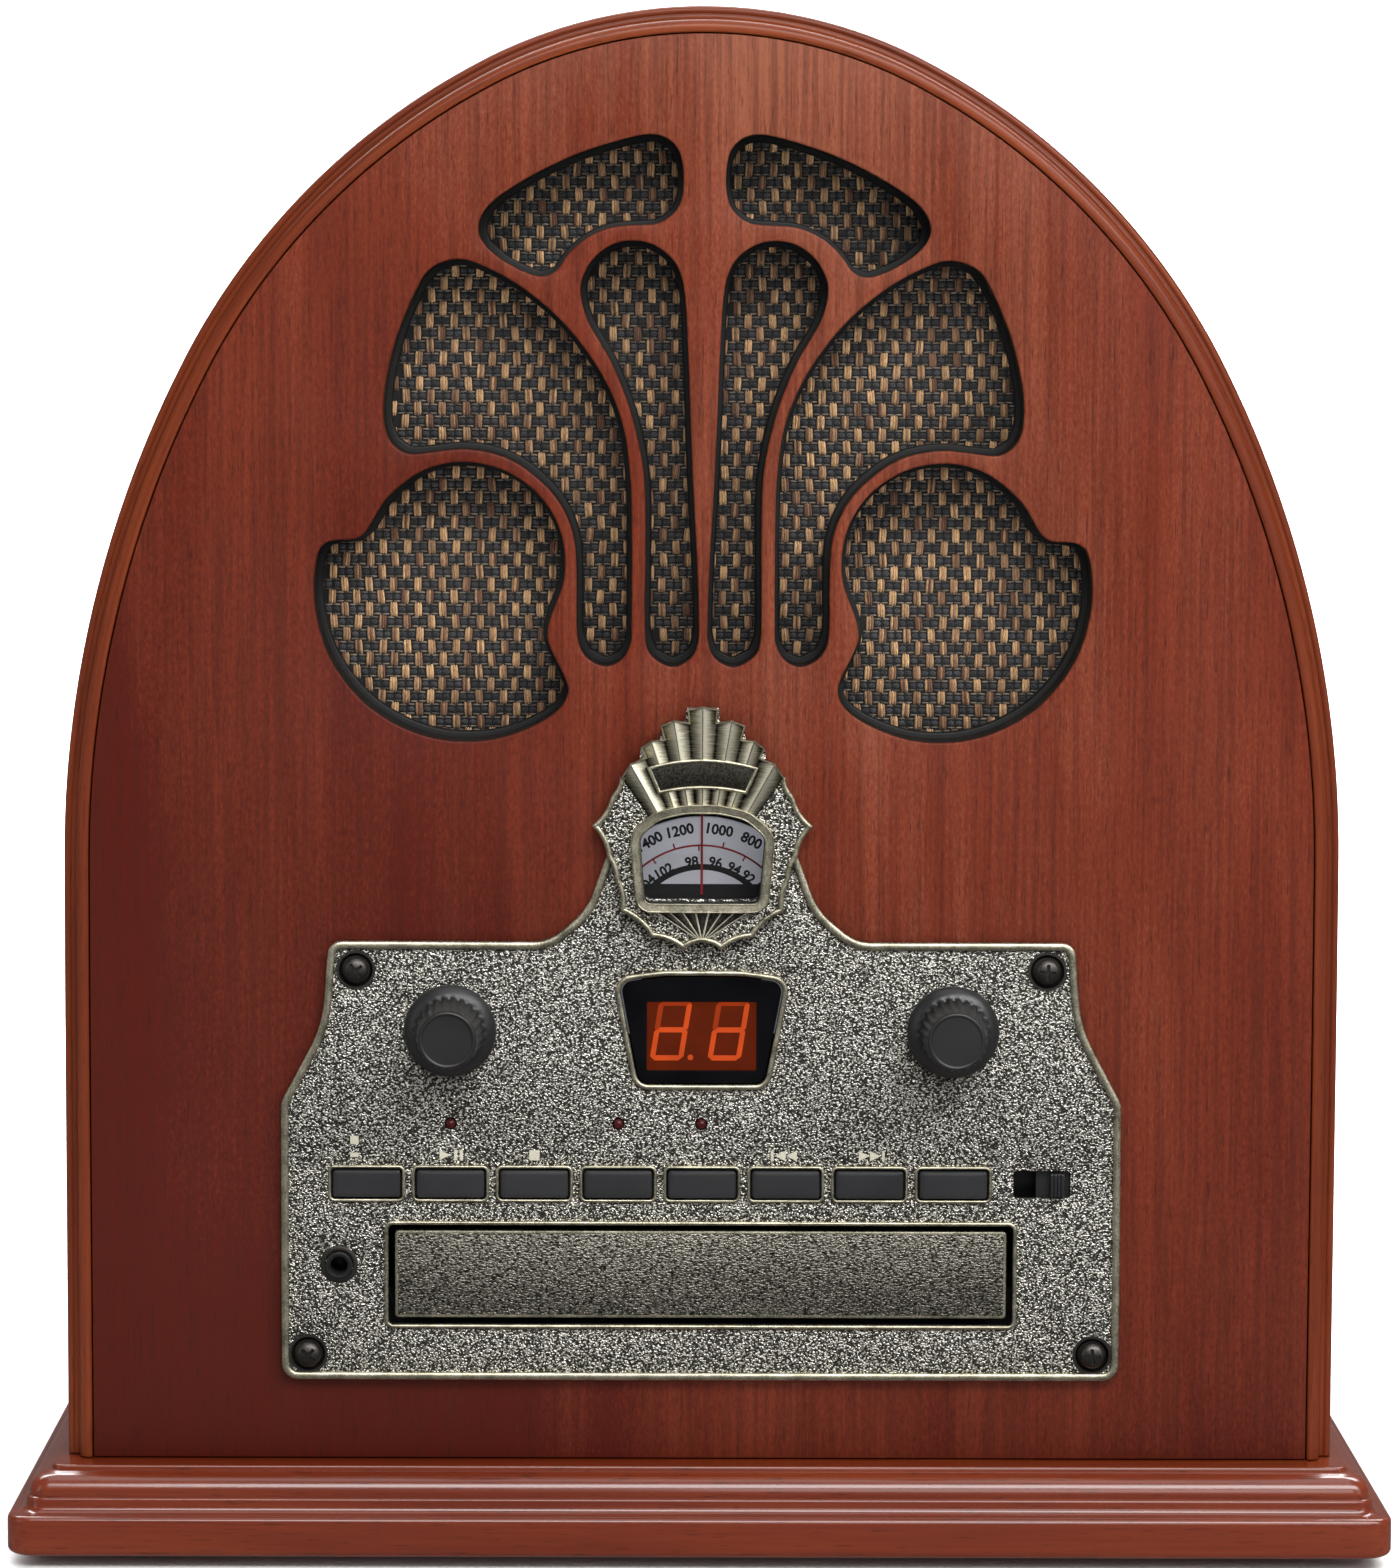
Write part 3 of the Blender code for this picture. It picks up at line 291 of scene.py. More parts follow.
def turned(profile, center, along="Y", segments=48, closed=False):
    """A turned solid. The profile is (radius, place along the axis); a closed one makes a ring."""
    solid = bmesh.new()
    rings = []
    for radius, place in profile:
        points = circle(center, radius, segments) if radius > 0.0 else [center]
        at = (lambda a, b: (a, place, b)) if along == "Y" else (lambda a, b: (a, b, place))
        rings.append([solid.verts.new(at(a, b)) for a, b in points])
    skin_around(solid, rings, segments, closed)
    return solid


def block(low, high, edge=0.0):
    """A box between two corners, its edges along Y rounded off at the front if an edge is given."""
    outline = [(low[0], low[2]), (high[0], low[2]), (high[0], high[2]), (low[0], high[2])]
    return slab(outline, (), low[1], high[1], edge) if edge else slab(outline, (), low[1], high[1], 0.01,
                                                                      steps=1)


def facing_back(solid):
    """A solid built facing -Y, turned about Z to face +Y."""
    for vert in solid.verts:
        vert.co = Vector((-vert.co.x, -vert.co.y, vert.co.z))
    return solid


def joined(solids):
    """Several closed solids as one mesh."""
    whole = solids[0]
    for solid in solids[1:]:
        mesh = bpy.data.meshes.new("part")
        solid.to_mesh(mesh)
        whole.from_mesh(mesh)
        bpy.data.meshes.remove(mesh)
        solid.free()
    return whole


def made(name, solid, looks, body, nodes=(), sharp=32.0):
    """An object from a solid in millimetres, riding on a body and standing for CAD nodes."""
    bmesh.ops.recalc_face_normals(solid, faces=solid.faces)
    bmesh.ops.scale(solid, verts=solid.verts, vec=(MM, MM, MM))
    mesh = bpy.data.meshes.new(name)
    solid.to_mesh(mesh)
    solid.free()
    mesh.shade_smooth()
    mesh.set_sharp_from_angle(angle=math.radians(sharp))
    piece = bpy.data.objects.new(name, mesh)
    bpy.context.scene.collection.objects.link(piece)
    for look in looks if isinstance(looks, (list, tuple)) else [looks]:
        mesh.materials.append(look)
    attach(piece, body)
    if nodes:
        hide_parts(*nodes)
    return piece


def standing_for(node, solid, looks, name=None, sharp=32.0):
    """A piece that takes one CAD node's place, on its body."""
    piece = made(name or f"{node}_look", solid, looks, BODY_OF[node], [node], sharp)
    return piece


def combined(base, others, operation):
    """The Boolean of a solid with other solids, all in millimetres, as a new solid."""
    objects = []
    for index, solid in enumerate((base, *others)):
        bmesh.ops.recalc_face_normals(solid, faces=solid.faces)
        mesh = bpy.data.meshes.new("helper")
        solid.to_mesh(mesh)
        solid.free()
        helper = bpy.data.objects.new(f"helper_{index}", mesh)
        bpy.context.scene.collection.objects.link(helper)
        objects.append(helper)
    for helper in objects[1:]:
        modifier = objects[0].modifiers.new("cut", "BOOLEAN")
        modifier.operation = operation
        modifier.solver = "EXACT"
        modifier.object = helper
    graph = bpy.context.evaluated_depsgraph_get()
    result = objects[0].evaluated_get(graph).to_mesh()
    solid = bmesh.new()
    solid.from_mesh(result)
    objects[0].evaluated_get(graph).to_mesh_clear()
    for helper in objects:
        mesh = helper.data
        bpy.data.objects.remove(helper)
        bpy.data.meshes.remove(mesh)
    return solid


# ----------------------------------------------------------------------------------------- materials


class Graph:
    """Short names for building a material's nodes."""

    def __init__(self, name, roughness=0.5, metallic=0.0, **sockets):
        self.look = bpy.data.materials.new(name)
        self.look.use_nodes = True
        self.nodes = self.look.node_tree.nodes
        self.links = self.look.node_tree.links
        self.shader = self.nodes["Principled BSDF"]
        self.shader.inputs["Roughness"].default_value = roughness
        self.shader.inputs["Metallic"].default_value = metallic
        for socket, value in sockets.items():
            self.shader.inputs[socket.replace("_", " ")].default_value = value

    def feed(self, socket, source):
        if isinstance(source, bpy.types.NodeSocket):
            self.links.new(source, socket)
        else:
            socket.default_value = source

    def place(self, scale, source="Object", turn=(0.0, 0.0, 0.0)):
        """Coordinates scaled per axis, in units per metre."""
        coordinates = self.nodes.new("ShaderNodeTexCoord")
        mapping = self.nodes.new("ShaderNodeMapping")
        mapping.inputs["Scale"].default_value = scale
        mapping.inputs["Rotation"].default_value = turn
        self.links.new(coordinates.outputs[source], mapping.inputs["Vector"])
        return mapping.outputs["Vector"]

    def noise(self, place, scale=1.0, detail=3.0, roughness=0.5, distortion=0.0):
        node = self.nodes.new("ShaderNodeTexNoise")
        self.feed(node.inputs["Vector"], place)
        for socket, value in (
            ("Scale", scale), ("Detail", detail), ("Roughness", roughness), ("Distortion", distortion)
        ):
            node.inputs[socket].default_value = value
        return node.outputs["Fac"]

    def cells(self, place, scale=1.0, feature="F1", randomness=1.0):
        node = self.nodes.new("ShaderNodeTexVoronoi")
        node.feature = feature
        self.feed(node.inputs["Vector"], place)
        node.inputs["Scale"].default_value = scale
        node.inputs["Randomness"].default_value = randomness
        return node.outputs["Distance"]

    def ramp(self, source, stops):
        """A colour ramp. Its stops are (place, colour or grey)."""
        node = self.nodes.new("ShaderNodeValToRGB")
        self.links.new(source, node.inputs["Fac"])
        elements = node.color_ramp.elements
        while len(elements) < len(stops):
            elements.new(0.5)
        for element, (spot, color) in zip(elements, stops):
            element.position = spot
            element.color = (*color, 1.0) if isinstance(color, tuple) else (color, color, color, 1.0)
        return node.outputs["Color"]

    def mix(self, share, first, second):
        node = self.nodes.new("ShaderNodeMix")
        node.data_type = "RGBA"
        self.feed(node.inputs[0], share)
        for socket, value in ((node.inputs[6], first), (node.inputs[7], second)):
            self.feed(socket, (*value, 1.0) if isinstance(value, tuple) else value)
        return node.outputs[2]

    def math(self, operation, first, second=0.0):
        node = self.nodes.new("ShaderNodeMath")
        node.operation = operation
        self.feed(node.inputs[0], first)
        self.feed(node.inputs[1], second)
        return node.outputs[0]

    def fit(self, source, low, high, to_low, to_high):
        node = self.nodes.new("ShaderNodeMapRange")
        self.feed(node.inputs["Value"], source)
        for socket, value in (("From Min", low), ("From Max", high), ("To Min", to_low), ("To Max", to_high)):
            node.inputs[socket].default_value = value
        return node.outputs["Result"]

    def axis(self, place, name):
        node = self.nodes.new("ShaderNodeSeparateXYZ")
        self.links.new(place, node.inputs["Vector"])
        return node.outputs[name]

    def bump(self, height, depth, strength=1.0):
        node = self.nodes.new("ShaderNodeBump")
        node.inputs["Strength"].default_value = strength
        node.inputs["Distance"].default_value = depth * MM
        self.links.new(height, node.inputs["Height"])
        self.links.new(node.outputs["Normal"], self.shader.inputs["Normal"])

    def color(self, source):
        self.feed(self.shader.inputs["Base Color"], (*source, 1.0) if isinstance(source, tuple) else source)
        return self.look

    def rough(self, source):
        self.feed(self.shader.inputs["Roughness"], source)


def grain_scale(along, across_count, along_count):
    """Scale per axis, with the fibres along one axis, in features per metre."""
    return tuple(along_count if axis == along else across_count for axis in "XYZ")


def wood(name, along, dark, middle, light, gloss, source="Object", coat=0.0, shine=0.35):
    """Stained wood: broad figure, fine fibres and short dark pores that all run along one axis."""
    graph = Graph(name, gloss, Specular_IOR_Level=shine, Coat_Weight=coat, Coat_Roughness=0.12)
    figure = graph.noise(graph.place(grain_scale(along, 34.0, 3.2), source), 1.0, 4.0, 0.55, 1.6)
    fibres = graph.noise(graph.place(grain_scale(along, 950.0, 22.0), source), 1.0, 2.0, 0.6)
    pores = graph.noise(graph.place(grain_scale(along, 2100.0, 150.0), source), 1.0, 1.0, 0.5)
    cloud = graph.noise(graph.place(grain_scale(along, 9.0, 5.0), source), 1.0, 2.0, 0.5)
    tone = graph.math("ADD", graph.math("MULTIPLY", figure, 0.62), graph.math("MULTIPLY", cloud, 0.38))
    color = graph.ramp(tone, ((0.34, dark), (0.5, middle), (0.66, light)))
    color = graph.mix(graph.ramp(fibres, ((0.36, 0.55), (0.62, 0.0))), color, dark)
    color = graph.mix(graph.ramp(pores, ((0.63, 0.0), (0.72, 0.45))), color, tuple(c * 0.25 for c in dark))
    graph.bump(graph.math("SUBTRACT", fibres, graph.math("MULTIPLY", pores, 0.5)), 0.02, 0.35)
    return graph.color(color)


def panel_wood_with_painted_light():
    """The front's cherry-stained veneer, with painted shade darkening its lower left and painted light
    brightening its upper right.
    """
    graph = Graph("veneer", 0.42, Specular_IOR_Level=0.13)
    spot = graph.place((1.0, 1.0, 1.0))
    figure = graph.noise(graph.place((30.0, 30.0, 2.6)), 1.0, 4.0, 0.55, 1.9)
    fibres = graph.noise(graph.place((1000.0, 1000.0, 20.0)), 1.0, 2.0, 0.6)
    pores = graph.noise(graph.place((2300.0, 900.0, 170.0)), 1.0, 1.0, 0.5)
    cloud = graph.noise(graph.place((8.0, 8.0, 5.0)), 1.0, 2.0, 0.5)
    # Painted light and shade: the colour drifts lighter towards the top and darker towards the sides, most at
    # the lower left, standing in for how light falls across the panel.
    across = graph.axis(spot, "X")
    rise = graph.math("MULTIPLY", graph.axis(spot, "Z"), 0.8)
    painted_light_drift = graph.math("ADD", graph.math("MULTIPLY", across, 0.5), rise)
    painted_light_drift = graph.math("SUBTRACT", painted_light_drift, graph.math("MULTIPLY", graph.math("ABSOLUTE", across), 0.95))
    speckle = graph.noise(graph.place((1700.0, 900.0, 700.0)), 1.0, 2.0, 0.7)
    tone = graph.math("ADD", graph.math("MULTIPLY", figure, 0.26), graph.math("MULTIPLY", cloud, 0.3))
    tone = graph.math("ADD", tone, graph.math("MULTIPLY", speckle, 0.24))
    tone = graph.math("ADD", tone, graph.math("MULTIPLY", painted_light_drift, 0.9))
    stops = ((0.36, (0.066, 0.0068, 0.0030)), (0.5, (0.132, 0.0215, 0.0080)), (0.65, (0.205, 0.062, 0.031)))
    color = graph.ramp(tone, stops)
    color = graph.mix(graph.ramp(fibres, ((0.34, 0.5), (0.62, 0.0))), color, (0.048, 0.008, 0.004))
    color = graph.mix(graph.ramp(pores, ((0.62, 0.0), (0.72, 0.5))), color, (0.022, 0.005, 0.003))
    graph.rough(graph.fit(figure, 0.3, 0.7, 0.36, 0.46))
    graph.bump(graph.math("SUBTRACT", fibres, graph.math("MULTIPLY", pores, 0.6)), 0.02, 0.35)
    return graph.color(color)


def cast_field():
    """Antiqued casting: small bright pebbles with dark plating left in the hollows between them."""
    graph = Graph("cast_field", 0.32, 1.0)
    warp = graph.noise(graph.place((1.0, 1.0, 1.0)), 1300.0, 2.0, 0.5)
    pebbles = graph.cells(graph.place((2100.0, 900.0, 2500.0), turn=(0.0, 0.35, 0.0)), 1.0, "SMOOTH_F1")
    fine = graph.noise(graph.place((3300.0, 1500.0, 4400.0), turn=(0.0, 0.35, 0.0)), 1.0, 1.0, 0.5)
    height = graph.math("ADD", graph.math("MULTIPLY", pebbles, 0.6), graph.math("MULTIPLY", fine, 0.55))
    height = graph.math("ADD", height, graph.math("MULTIPLY", warp, 0.2))
    stops = ((0.44, (0.95, 0.93, 0.86)), (0.55, (0.58, 0.56, 0.49)), (0.66, (0.05, 0.047, 0.042)))
    graph.rough(graph.ramp(height, ((0.45, 0.27), (0.66, 0.55))))
    graph.bump(graph.math("SUBTRACT", 1.0, height), 0.42, 1.0)
    return graph.color(graph.ramp(height, stops))


def cast_rim():
    """Raised edges of the casting, polished through to a warm pale metal."""
    graph = Graph("cast_rim", 0.4, 1.0)
    patches = graph.noise(graph.place((260.0, 260.0, 260.0)), 1.0, 4.0, 0.6)
    scratches = graph.noise(graph.place((2600.0, 900.0, 2600.0)), 1.0, 2.0, 0.6)
    tone = graph.math("ADD", graph.math("MULTIPLY", patches, 0.6), graph.math("MULTIPLY", scratches, 0.4))
    color = graph.ramp(tone, ((0.36, (0.22, 0.205, 0.145)), (0.62, (0.66, 0.62, 0.47))))
    graph.rough(graph.fit(scratches, 0.3, 0.7, 0.32, 0.5))
    graph.bump(scratches, 0.03, 0.5)
    return graph.color(color)


def cast_brushed_painted_light():
    """Facets of the rays: brushed across, with a painted highlight along the ridges and painted shade towards
    the valleys.
    """
    graph = Graph("cast_brushed_painted_light", 0.4, 1.0)
    spot = graph.place((1.0, 1.0, 1.0))
    brush = graph.noise(graph.place((300.0, 300.0, 5200.0)), 1.0, 3.0, 0.7)
    # Painted light: the colour runs from dark at the valleys to near white at the ridges, standing in for
    # light and shade on the facets.
    rise = graph.fit(graph.axis(spot, "Y"), (BADGE_FRONT + 2.1) * MM, (BADGE_FRONT + 1.0) * MM, 0.0, 1.0)
    tone = graph.math("ADD", graph.math("MULTIPLY", brush, 0.55), graph.math("MULTIPLY", rise, 0.6))
    color = graph.ramp(tone, ((0.30, (0.02, 0.018, 0.014)), (0.54, (0.33, 0.305, 0.22)),
                              (0.8, (0.95, 0.90, 0.72))))
    graph.bump(brush, 0.03, 0.5)
    return graph.color(color)


def cast_dark():
    """Recessed parts of the badge, where the dark plating is whole."""
    graph = Graph("cast_dark", 0.42, 1.0)
    brush = graph.noise(graph.place((2400.0, 900.0, 2600.0)), 1.0, 3.0, 0.6)
    graph.bump(brush, 0.03, 0.5)
    return graph.color(graph.ramp(brush, ((0.35, (0.022, 0.02, 0.017)), (0.68, (0.095, 0.088, 0.07)))))


def drawer_metal():
    """The drawer's face: finely pebbled in lines, under a dark bronze finish."""
    graph = Graph("drawer_bronze", 0.36, 1.0)
    ripple = graph.noise(graph.place((1300.0, 900.0, 3400.0)), 1.0, 2.0, 0.6)
    flecks = graph.cells(graph.place((1800.0, 900.0, 2500.0)), 1.0, "SMOOTH_F1")
    tone = graph.math("ADD", graph.math("MULTIPLY", ripple, 0.65), graph.math("MULTIPLY", flecks, 0.45))
    stops = ((0.44, (0.36, 0.34, 0.29)), (0.54, (0.15, 0.138, 0.115)), (0.66, (0.022, 0.02, 0.017)))
    patches = graph.noise(graph.place((14.0, 14.0, 30.0)), 1.0, 3.0, 0.5)
    color = graph.mix(graph.ramp(patches, ((0.35, 0.4), (0.65, 0.0))), graph.ramp(tone, stops),
                      (0.05, 0.045, 0.036))
    graph.bump(graph.math("SUBTRACT", 1.0, tone), 0.3, 0.9)
    return graph.color(color)


def moulded(name, color, roughness=0.42, grain=2600.0, depth=0.012, gloss=0.3, **sockets):
    """Moulded plastic, rubber or paint, with a fine texture and slight mottling."""
    graph = Graph(name, roughness, Specular_IOR_Level=gloss, **sockets)
    texture = graph.noise(graph.place((grain, grain, grain)), 1.0, 2.0, 0.6)
    mottle = graph.noise(graph.place((60.0, 60.0, 60.0)), 1.0, 3.0, 0.5)
    graph.bump(texture, depth, 0.5)
    graph.rough(graph.fit(mottle, 0.3, 0.7, roughness - 0.05, roughness + 0.06))
    lifted = tuple(min(1.0, c * 1.25 + 0.002) for c in color)
    return graph.color(graph.mix(graph.fit(mottle, 0.3, 0.7, 0.0, 1.0), color, lifted))


def plated(name, color, roughness=0.35):
    """Plated or bare sheet metal, with a faint rolled grain."""
    graph = Graph(name, roughness, 1.0)
    rolled = graph.noise(graph.place((120.0, 2400.0, 120.0)), 1.0, 3.0, 0.6)
    stains = graph.noise(graph.place((35.0, 35.0, 35.0)), 1.0, 4.0, 0.6)
    graph.rough(graph.fit(stains, 0.3, 0.7, roughness - 0.07, roughness + 0.12))
    graph.bump(rolled, 0.01, 0.3)
    return graph.color(graph.mix(graph.fit(stains, 0.3, 0.7, 0.0, 1.0), color,
                                 tuple(c * 0.72 for c in color)))


def clear_window():
    graph = Graph("clear_window", 0.05, Alpha=0.06, IOR=1.45)
    haze = graph.noise(graph.place((90.0, 90.0, 90.0)), 1.0, 3.0, 0.6)
    graph.rough(graph.fit(haze, 0.3, 0.8, 0.03, 0.09))
    return graph.color(graph.mix(haze, (0.02, 0.02, 0.02), (0.05, 0.05, 0.05)))


def lit(name, color, strength, base=(0.2, 0.02, 0.01)):
    """A coloured filter or segment with light behind it, a little uneven. The dial gets the same glow as
    painted light.
    """
    graph = Graph(name, 0.25, Specular_IOR_Level=0.15, Emission_Strength=strength)
    uneven = graph.noise(graph.place((160.0, 160.0, 160.0)), 1.0, 2.0, 0.5)
    dim = tuple(c * 0.75 for c in color)
    glow = graph.mix(graph.fit(uneven, 0.3, 0.7, 0.0, 1.0), color, dim)
    graph.links.new(glow, graph.shader.inputs["Emission Color"])
    return graph.color(base)


def yarn(name, dark, light):
    """Spun yarn: each float has its own shade, from the mesh's colour attribute, with fine fibre streaks."""
    graph = Graph(name, 0.85, Sheen_Weight=0.25, Specular_IOR_Level=0.3)
    shade = graph.nodes.new("ShaderNodeAttribute")
    shade.attribute_name = "shade"
    fibres = graph.noise(graph.place((5200.0, 5200.0, 900.0)), 1.0, 2.0, 0.6)
    halfway = tuple((a + b) / 2 for a, b in zip(dark, light))
    color = graph.ramp(shade.outputs["Fac"], ((0.0, dark), (0.5, halfway), (1.0, light)))
    color = graph.mix(graph.ramp(fibres, ((0.35, 0.6), (0.62, 0.0))), color, tuple(c * 0.3 for c in dark))
    graph.bump(fibres, 0.05, 0.6)
    return graph.color(color)


def circuit_board():
    """Green solder mask with paler tracks under it."""
    graph = Graph("circuit_board", 0.35)
    tracks = graph.cells(graph.place((260.0, 260.0, 260.0)), 1.0, "DISTANCE_TO_EDGE", 0.55)
    mottle = graph.noise(graph.place((70.0, 70.0, 70.0)), 1.0, 2.0, 0.5)
    color = graph.mix(graph.ramp(tracks, ((0.06, 1.0), (0.09, 0.0))), (0.02, 0.11, 0.035), (0.05, 0.21, 0.07))
    graph.bump(tracks, 0.03, 0.3)
    graph.rough(graph.fit(mottle, 0.3, 0.7, 0.28, 0.42))
    return graph.color(color)


def make_looks():
    black = (0.0085, 0.0085, 0.009)
    return {
        "veneer": panel_wood_with_painted_light(),
        "trim": wood("trim_wood", "X", (0.085, 0.012, 0.003), (0.15, 0.0255, 0.005), (0.23, 0.048, 0.0095),
                     0.34,
                     "UV", 0.0, 0.25),
        "base": wood("base_wood", "X", (0.105, 0.0125, 0.003), (0.152, 0.0215, 0.0046),
                     (0.19, 0.032, 0.0068), 0.26,
                     "Object", 0.5, 0.5),
        "shell": wood("shell_wood", "X", (0.065, 0.0085, 0.004), (0.11, 0.015, 0.006), (0.16, 0.027, 0.009),
                      0.3,
                      "UV", 0.0, 0.3),
        "paint": moulded("black_paint", (0.0055, 0.0052, 0.005), 0.55, 1800.0, 0.03, gloss=0.25),
        "cast_field": cast_field(),
        "cast_rim": cast_rim(),
        "cast_brushed_painted_light": cast_brushed_painted_light(),
        "cast_dark": cast_dark(),
        "drawer": drawer_metal(),
        "black": moulded("black_plastic", black, 0.36, gloss=0.5),
        "key": moulded("key_plastic", (0.016, 0.016, 0.0175), 0.38, 3200.0, 0.015),
        "symbol": moulded("symbol_print", (0.36, 0.34, 0.27), 0.5, 2400.0, 0.01, gloss=0.5),
        "rubber": moulded("foot_rubber", (0.02, 0.02, 0.02), 0.85, 900.0, 0.05),
        "dark_steel": plated("dark_steel", (0.10, 0.092, 0.085), 0.38),
        "steel": plated("bright_steel", (0.55, 0.54, 0.52), 0.3),
        "iron": plated("pressed_iron", (0.16, 0.15, 0.14), 0.5),
        "paper": moulded("cone_paper", (0.022, 0.022, 0.024), 0.9, 700.0, 0.08),
        "mechanism": moulded("mechanism_plastic", (0.03, 0.03, 0.033), 0.5, 1500.0, 0.02),
        "white": moulded("white_plastic", (0.68, 0.68, 0.65), 0.45, 1200.0, 0.01),
        # The dial's faint glow is painted light: it brightens the disc in its deep recess, which only the
        # room's lamps light.
        "dial": lit("dial_print_white_painted_glow", (0.84, 0.86, 1.0), 0.13, (0.74, 0.74, 0.79)),
        "ink": moulded("print_black", (0.012, 0.012, 0.014), 0.5, 1500.0, 0.004),
        "red_ink": moulded("print_red", (0.42, 0.012, 0.02), 0.45, 1500.0, 0.004),
        "bezel": moulded("display_bezel", (0.0015, 0.0015, 0.002), 0.12, 500.0, 0.0015, gloss=0.06),
        "glow": lit("display_glow", (1.0, 0.10, 0.001), 0.105, (0.012, 0.002, 0.001)),
        "segment": lit("display_segment", (1.0, 0.105, 0.008), 0.62, (0.05, 0.01, 0.005)),
        "faint": lit("display_segment_faint", (1.0, 0.09, 0.005), 0.33, (0.03, 0.006, 0.003)),
        "led": moulded("led_lens", (0.035, 0.002, 0.002), 0.2, 600.0, 0.004),
        "clear": clear_window(),
        "circuit": circuit_board(),
        "cord": moulded("dial_cord", (0.5, 0.45, 0.34), 0.8, 3000.0, 0.05),
        "tan_yarn": yarn("tan_yarn", (0.13, 0.05, 0.022), (0.66, 0.40, 0.19)),
        "pale_yarn": yarn("pale_yarn", (0.05, 0.038, 0.028), (0.24, 0.19, 0.14)),
        "dark_yarn": yarn("dark_yarn", (0.010, 0.010, 0.011), (0.055, 0.055, 0.06)),
    }


# ------------------------------------------------------------------------------------------- cabinet


def arch_path():
    """The panel's edge as a fine open path, from the right foot over the crown to the left foot."""
    loop = face_loops("front_panel")[0]
    low = min(z for _, z in loop)
    start = max(range(len(loop)), key=lambda index: (loop[index][1] < low + 0.01, loop[index][0]))
    return refined(loop[start:] + loop[:start], 2.5, closed=False)


def with_grain(piece, path, across):
    """UVs in metres for a swept piece: along its path, then across it, so that the grain follows the bend."""
    mesh = piece.data
    layer = mesh.uv_layers.new(name="grain")
    reach = [0.0]
    for a, b in zip(path, path[1:]):
        reach.append(reach[-1] + math.dist(a, b) * MM)
    count = len(path)
    for loop in mesh.loops:
        ring, index = divmod(loop.vertex_index, count)
        layer.data[loop.index].uv = (reach[index], across[ring % len(across)] * MM)
    return piece


def build_panel(looks):
    loops = face_loops("front_panel")
    outline = refined(loops[0], 3.0)
    holes = [refined(loop, 1.2) for loop in loops[1:]]
    solid = slab(outline, holes, PANEL_FRONT, PANEL_BACK, 0.15, 0.45, hole_wall=1)
    standing_for("front_panel", solid, [looks["veneer"], looks["paint"]], "veneered_panel")


def build_moulding(looks):
    path = arch_path()
    profile = [(0.3, PANEL_BACK), (0.3, -85.05), (0.42, -85.5), (0.62, -85.6)]
    profile += [(1.3 + math.sin(math.radians(turn)) * 1.75, -83.75 - math.cos(math.radians(turn)) * 1.9)
                for turn in range(-10, 91, 14)]
    profile += [(3.08, -82.9), (3.2, -82.3), (3.5, -81.8), (3.95, -81.55), (4.25, -81.6)]
    profile += [(4.95 + math.sin(math.radians(turn)) * 0.85, -81.1 - math.cos(math.radians(turn)) * 0.75)
                for turn in range(-50, 91, 20)]
    profile += [(5.92, -80.4), (ARCH_EDGE, -79.9), (ARCH_EDGE, PANEL_BACK)]
    solid = swept(path, profile, closed=False)
    moulding = standing_for("arch_moulding", solid, looks["trim"], "arch_trim", 50.0)
    with_grain(moulding, path, [sum(math.dist(a, b) for a, b in zip(profile[:i], profile[1:i + 1]))
                                for i in range(len(profile))])


def build_shell(looks):
    path = arch_path()
    front = corners_of("cabinet_shell")[0].y
    step = corners_of("rear_cover")[0].y - 0.3
    inner, lip = ARCH_EDGE - SHELL_WALL, 1.5
    profile = [(inner, front), (ARCH_EDGE - 0.3, front), (ARCH_EDGE, front + 0.3),
               (ARCH_EDGE, SHELL_BACK - 1.5)]
    profile += [(ARCH_EDGE - 1.5 + math.cos(math.radians(turn)) * 1.5,
                 SHELL_BACK - 1.5 + math.sin(math.radians(turn)) * 1.5) for turn in (22, 45, 68, 90)]
    profile += [(lip, SHELL_BACK), (lip, step), (inner, step)]
    solid = swept(path, profile, closed=False)
    shell = standing_for("cabinet_shell", solid, looks["shell"], "bent_shell", 40.0)
    with_grain(shell, path, [sum(math.dist(a, b) for a, b in zip(profile[:i], profile[1:i + 1]))
                             for i in range(len(profile))])


def build_base(looks):
    low, high = corners_of("base_plinth")
    step = 9.2
    top, bottom = high.z, low.z
    levels = [(0.0, top), (0.28, top - 0.04), (0.46, top - 0.24), (0.5, top - 0.6), (0.56, top - 0.95)]
    levels += [(1.0, top - 1.1), (1.35, top - 1.14), (1.55, top - 1.3)]
    levels += [(x + 0.9, z) for x, z in arc((0.0, 15.2), 4.05, 70.0, -8.0, 9)]
    levels += [(5.12, 14.52), (5.36, 14.42), (5.52, 14.22), (5.56, 13.95)]
    levels += arc((7.35, 13.05), 1.75, 188.0, 268.0, 7)
    levels += arc((step - 1.15, 10.1), 1.15, 84.0, 0.0, 5)
    levels += arc((step - 1.7, bottom + 1.7), 1.7, 0.0, -90.0, 6)
    sections = []
    for out, z in levels:
        right, left, front = high.x - step + out, low.x + step - out, low.y + step - out
        radius = 3.0 + out * 0.25
        outline = arc((right - radius, front + radius), radius, -90.0, 0.0, 8)
        outline += [(right, high.y), (left, high.y)]
        outline += arc((left + radius, front + radius), radius, 180.0, 270.0, 8)
        sections.append([(x, y, z) for x, y in outline])
    standing_for("base_plinth", loft(sections), looks["base"], "moulded_base", 50.0)


def build_feet(looks):
    for number in range(1, 5):
        node = f"foot_{number}"
        low, high = corners_of(node)
        radius = (high.x - low.x) / 2
        profile = [(0.0, high.z), (radius, high.z), (radius, 1.0), (radius - 0.3, 0.3), (radius - 1.0, 0.0)]
        profile += [(radius - 2.2, 0.0), (radius - 2.6, 0.5), (2.6, 0.5), (2.2, 0.9), (0.0, 0.9)]
        center = ((low.x + high.x) / 2, (low.y + high.y) / 2)
        standing_for(node, turned(profile, center, "Z", 40), looks["rubber"])


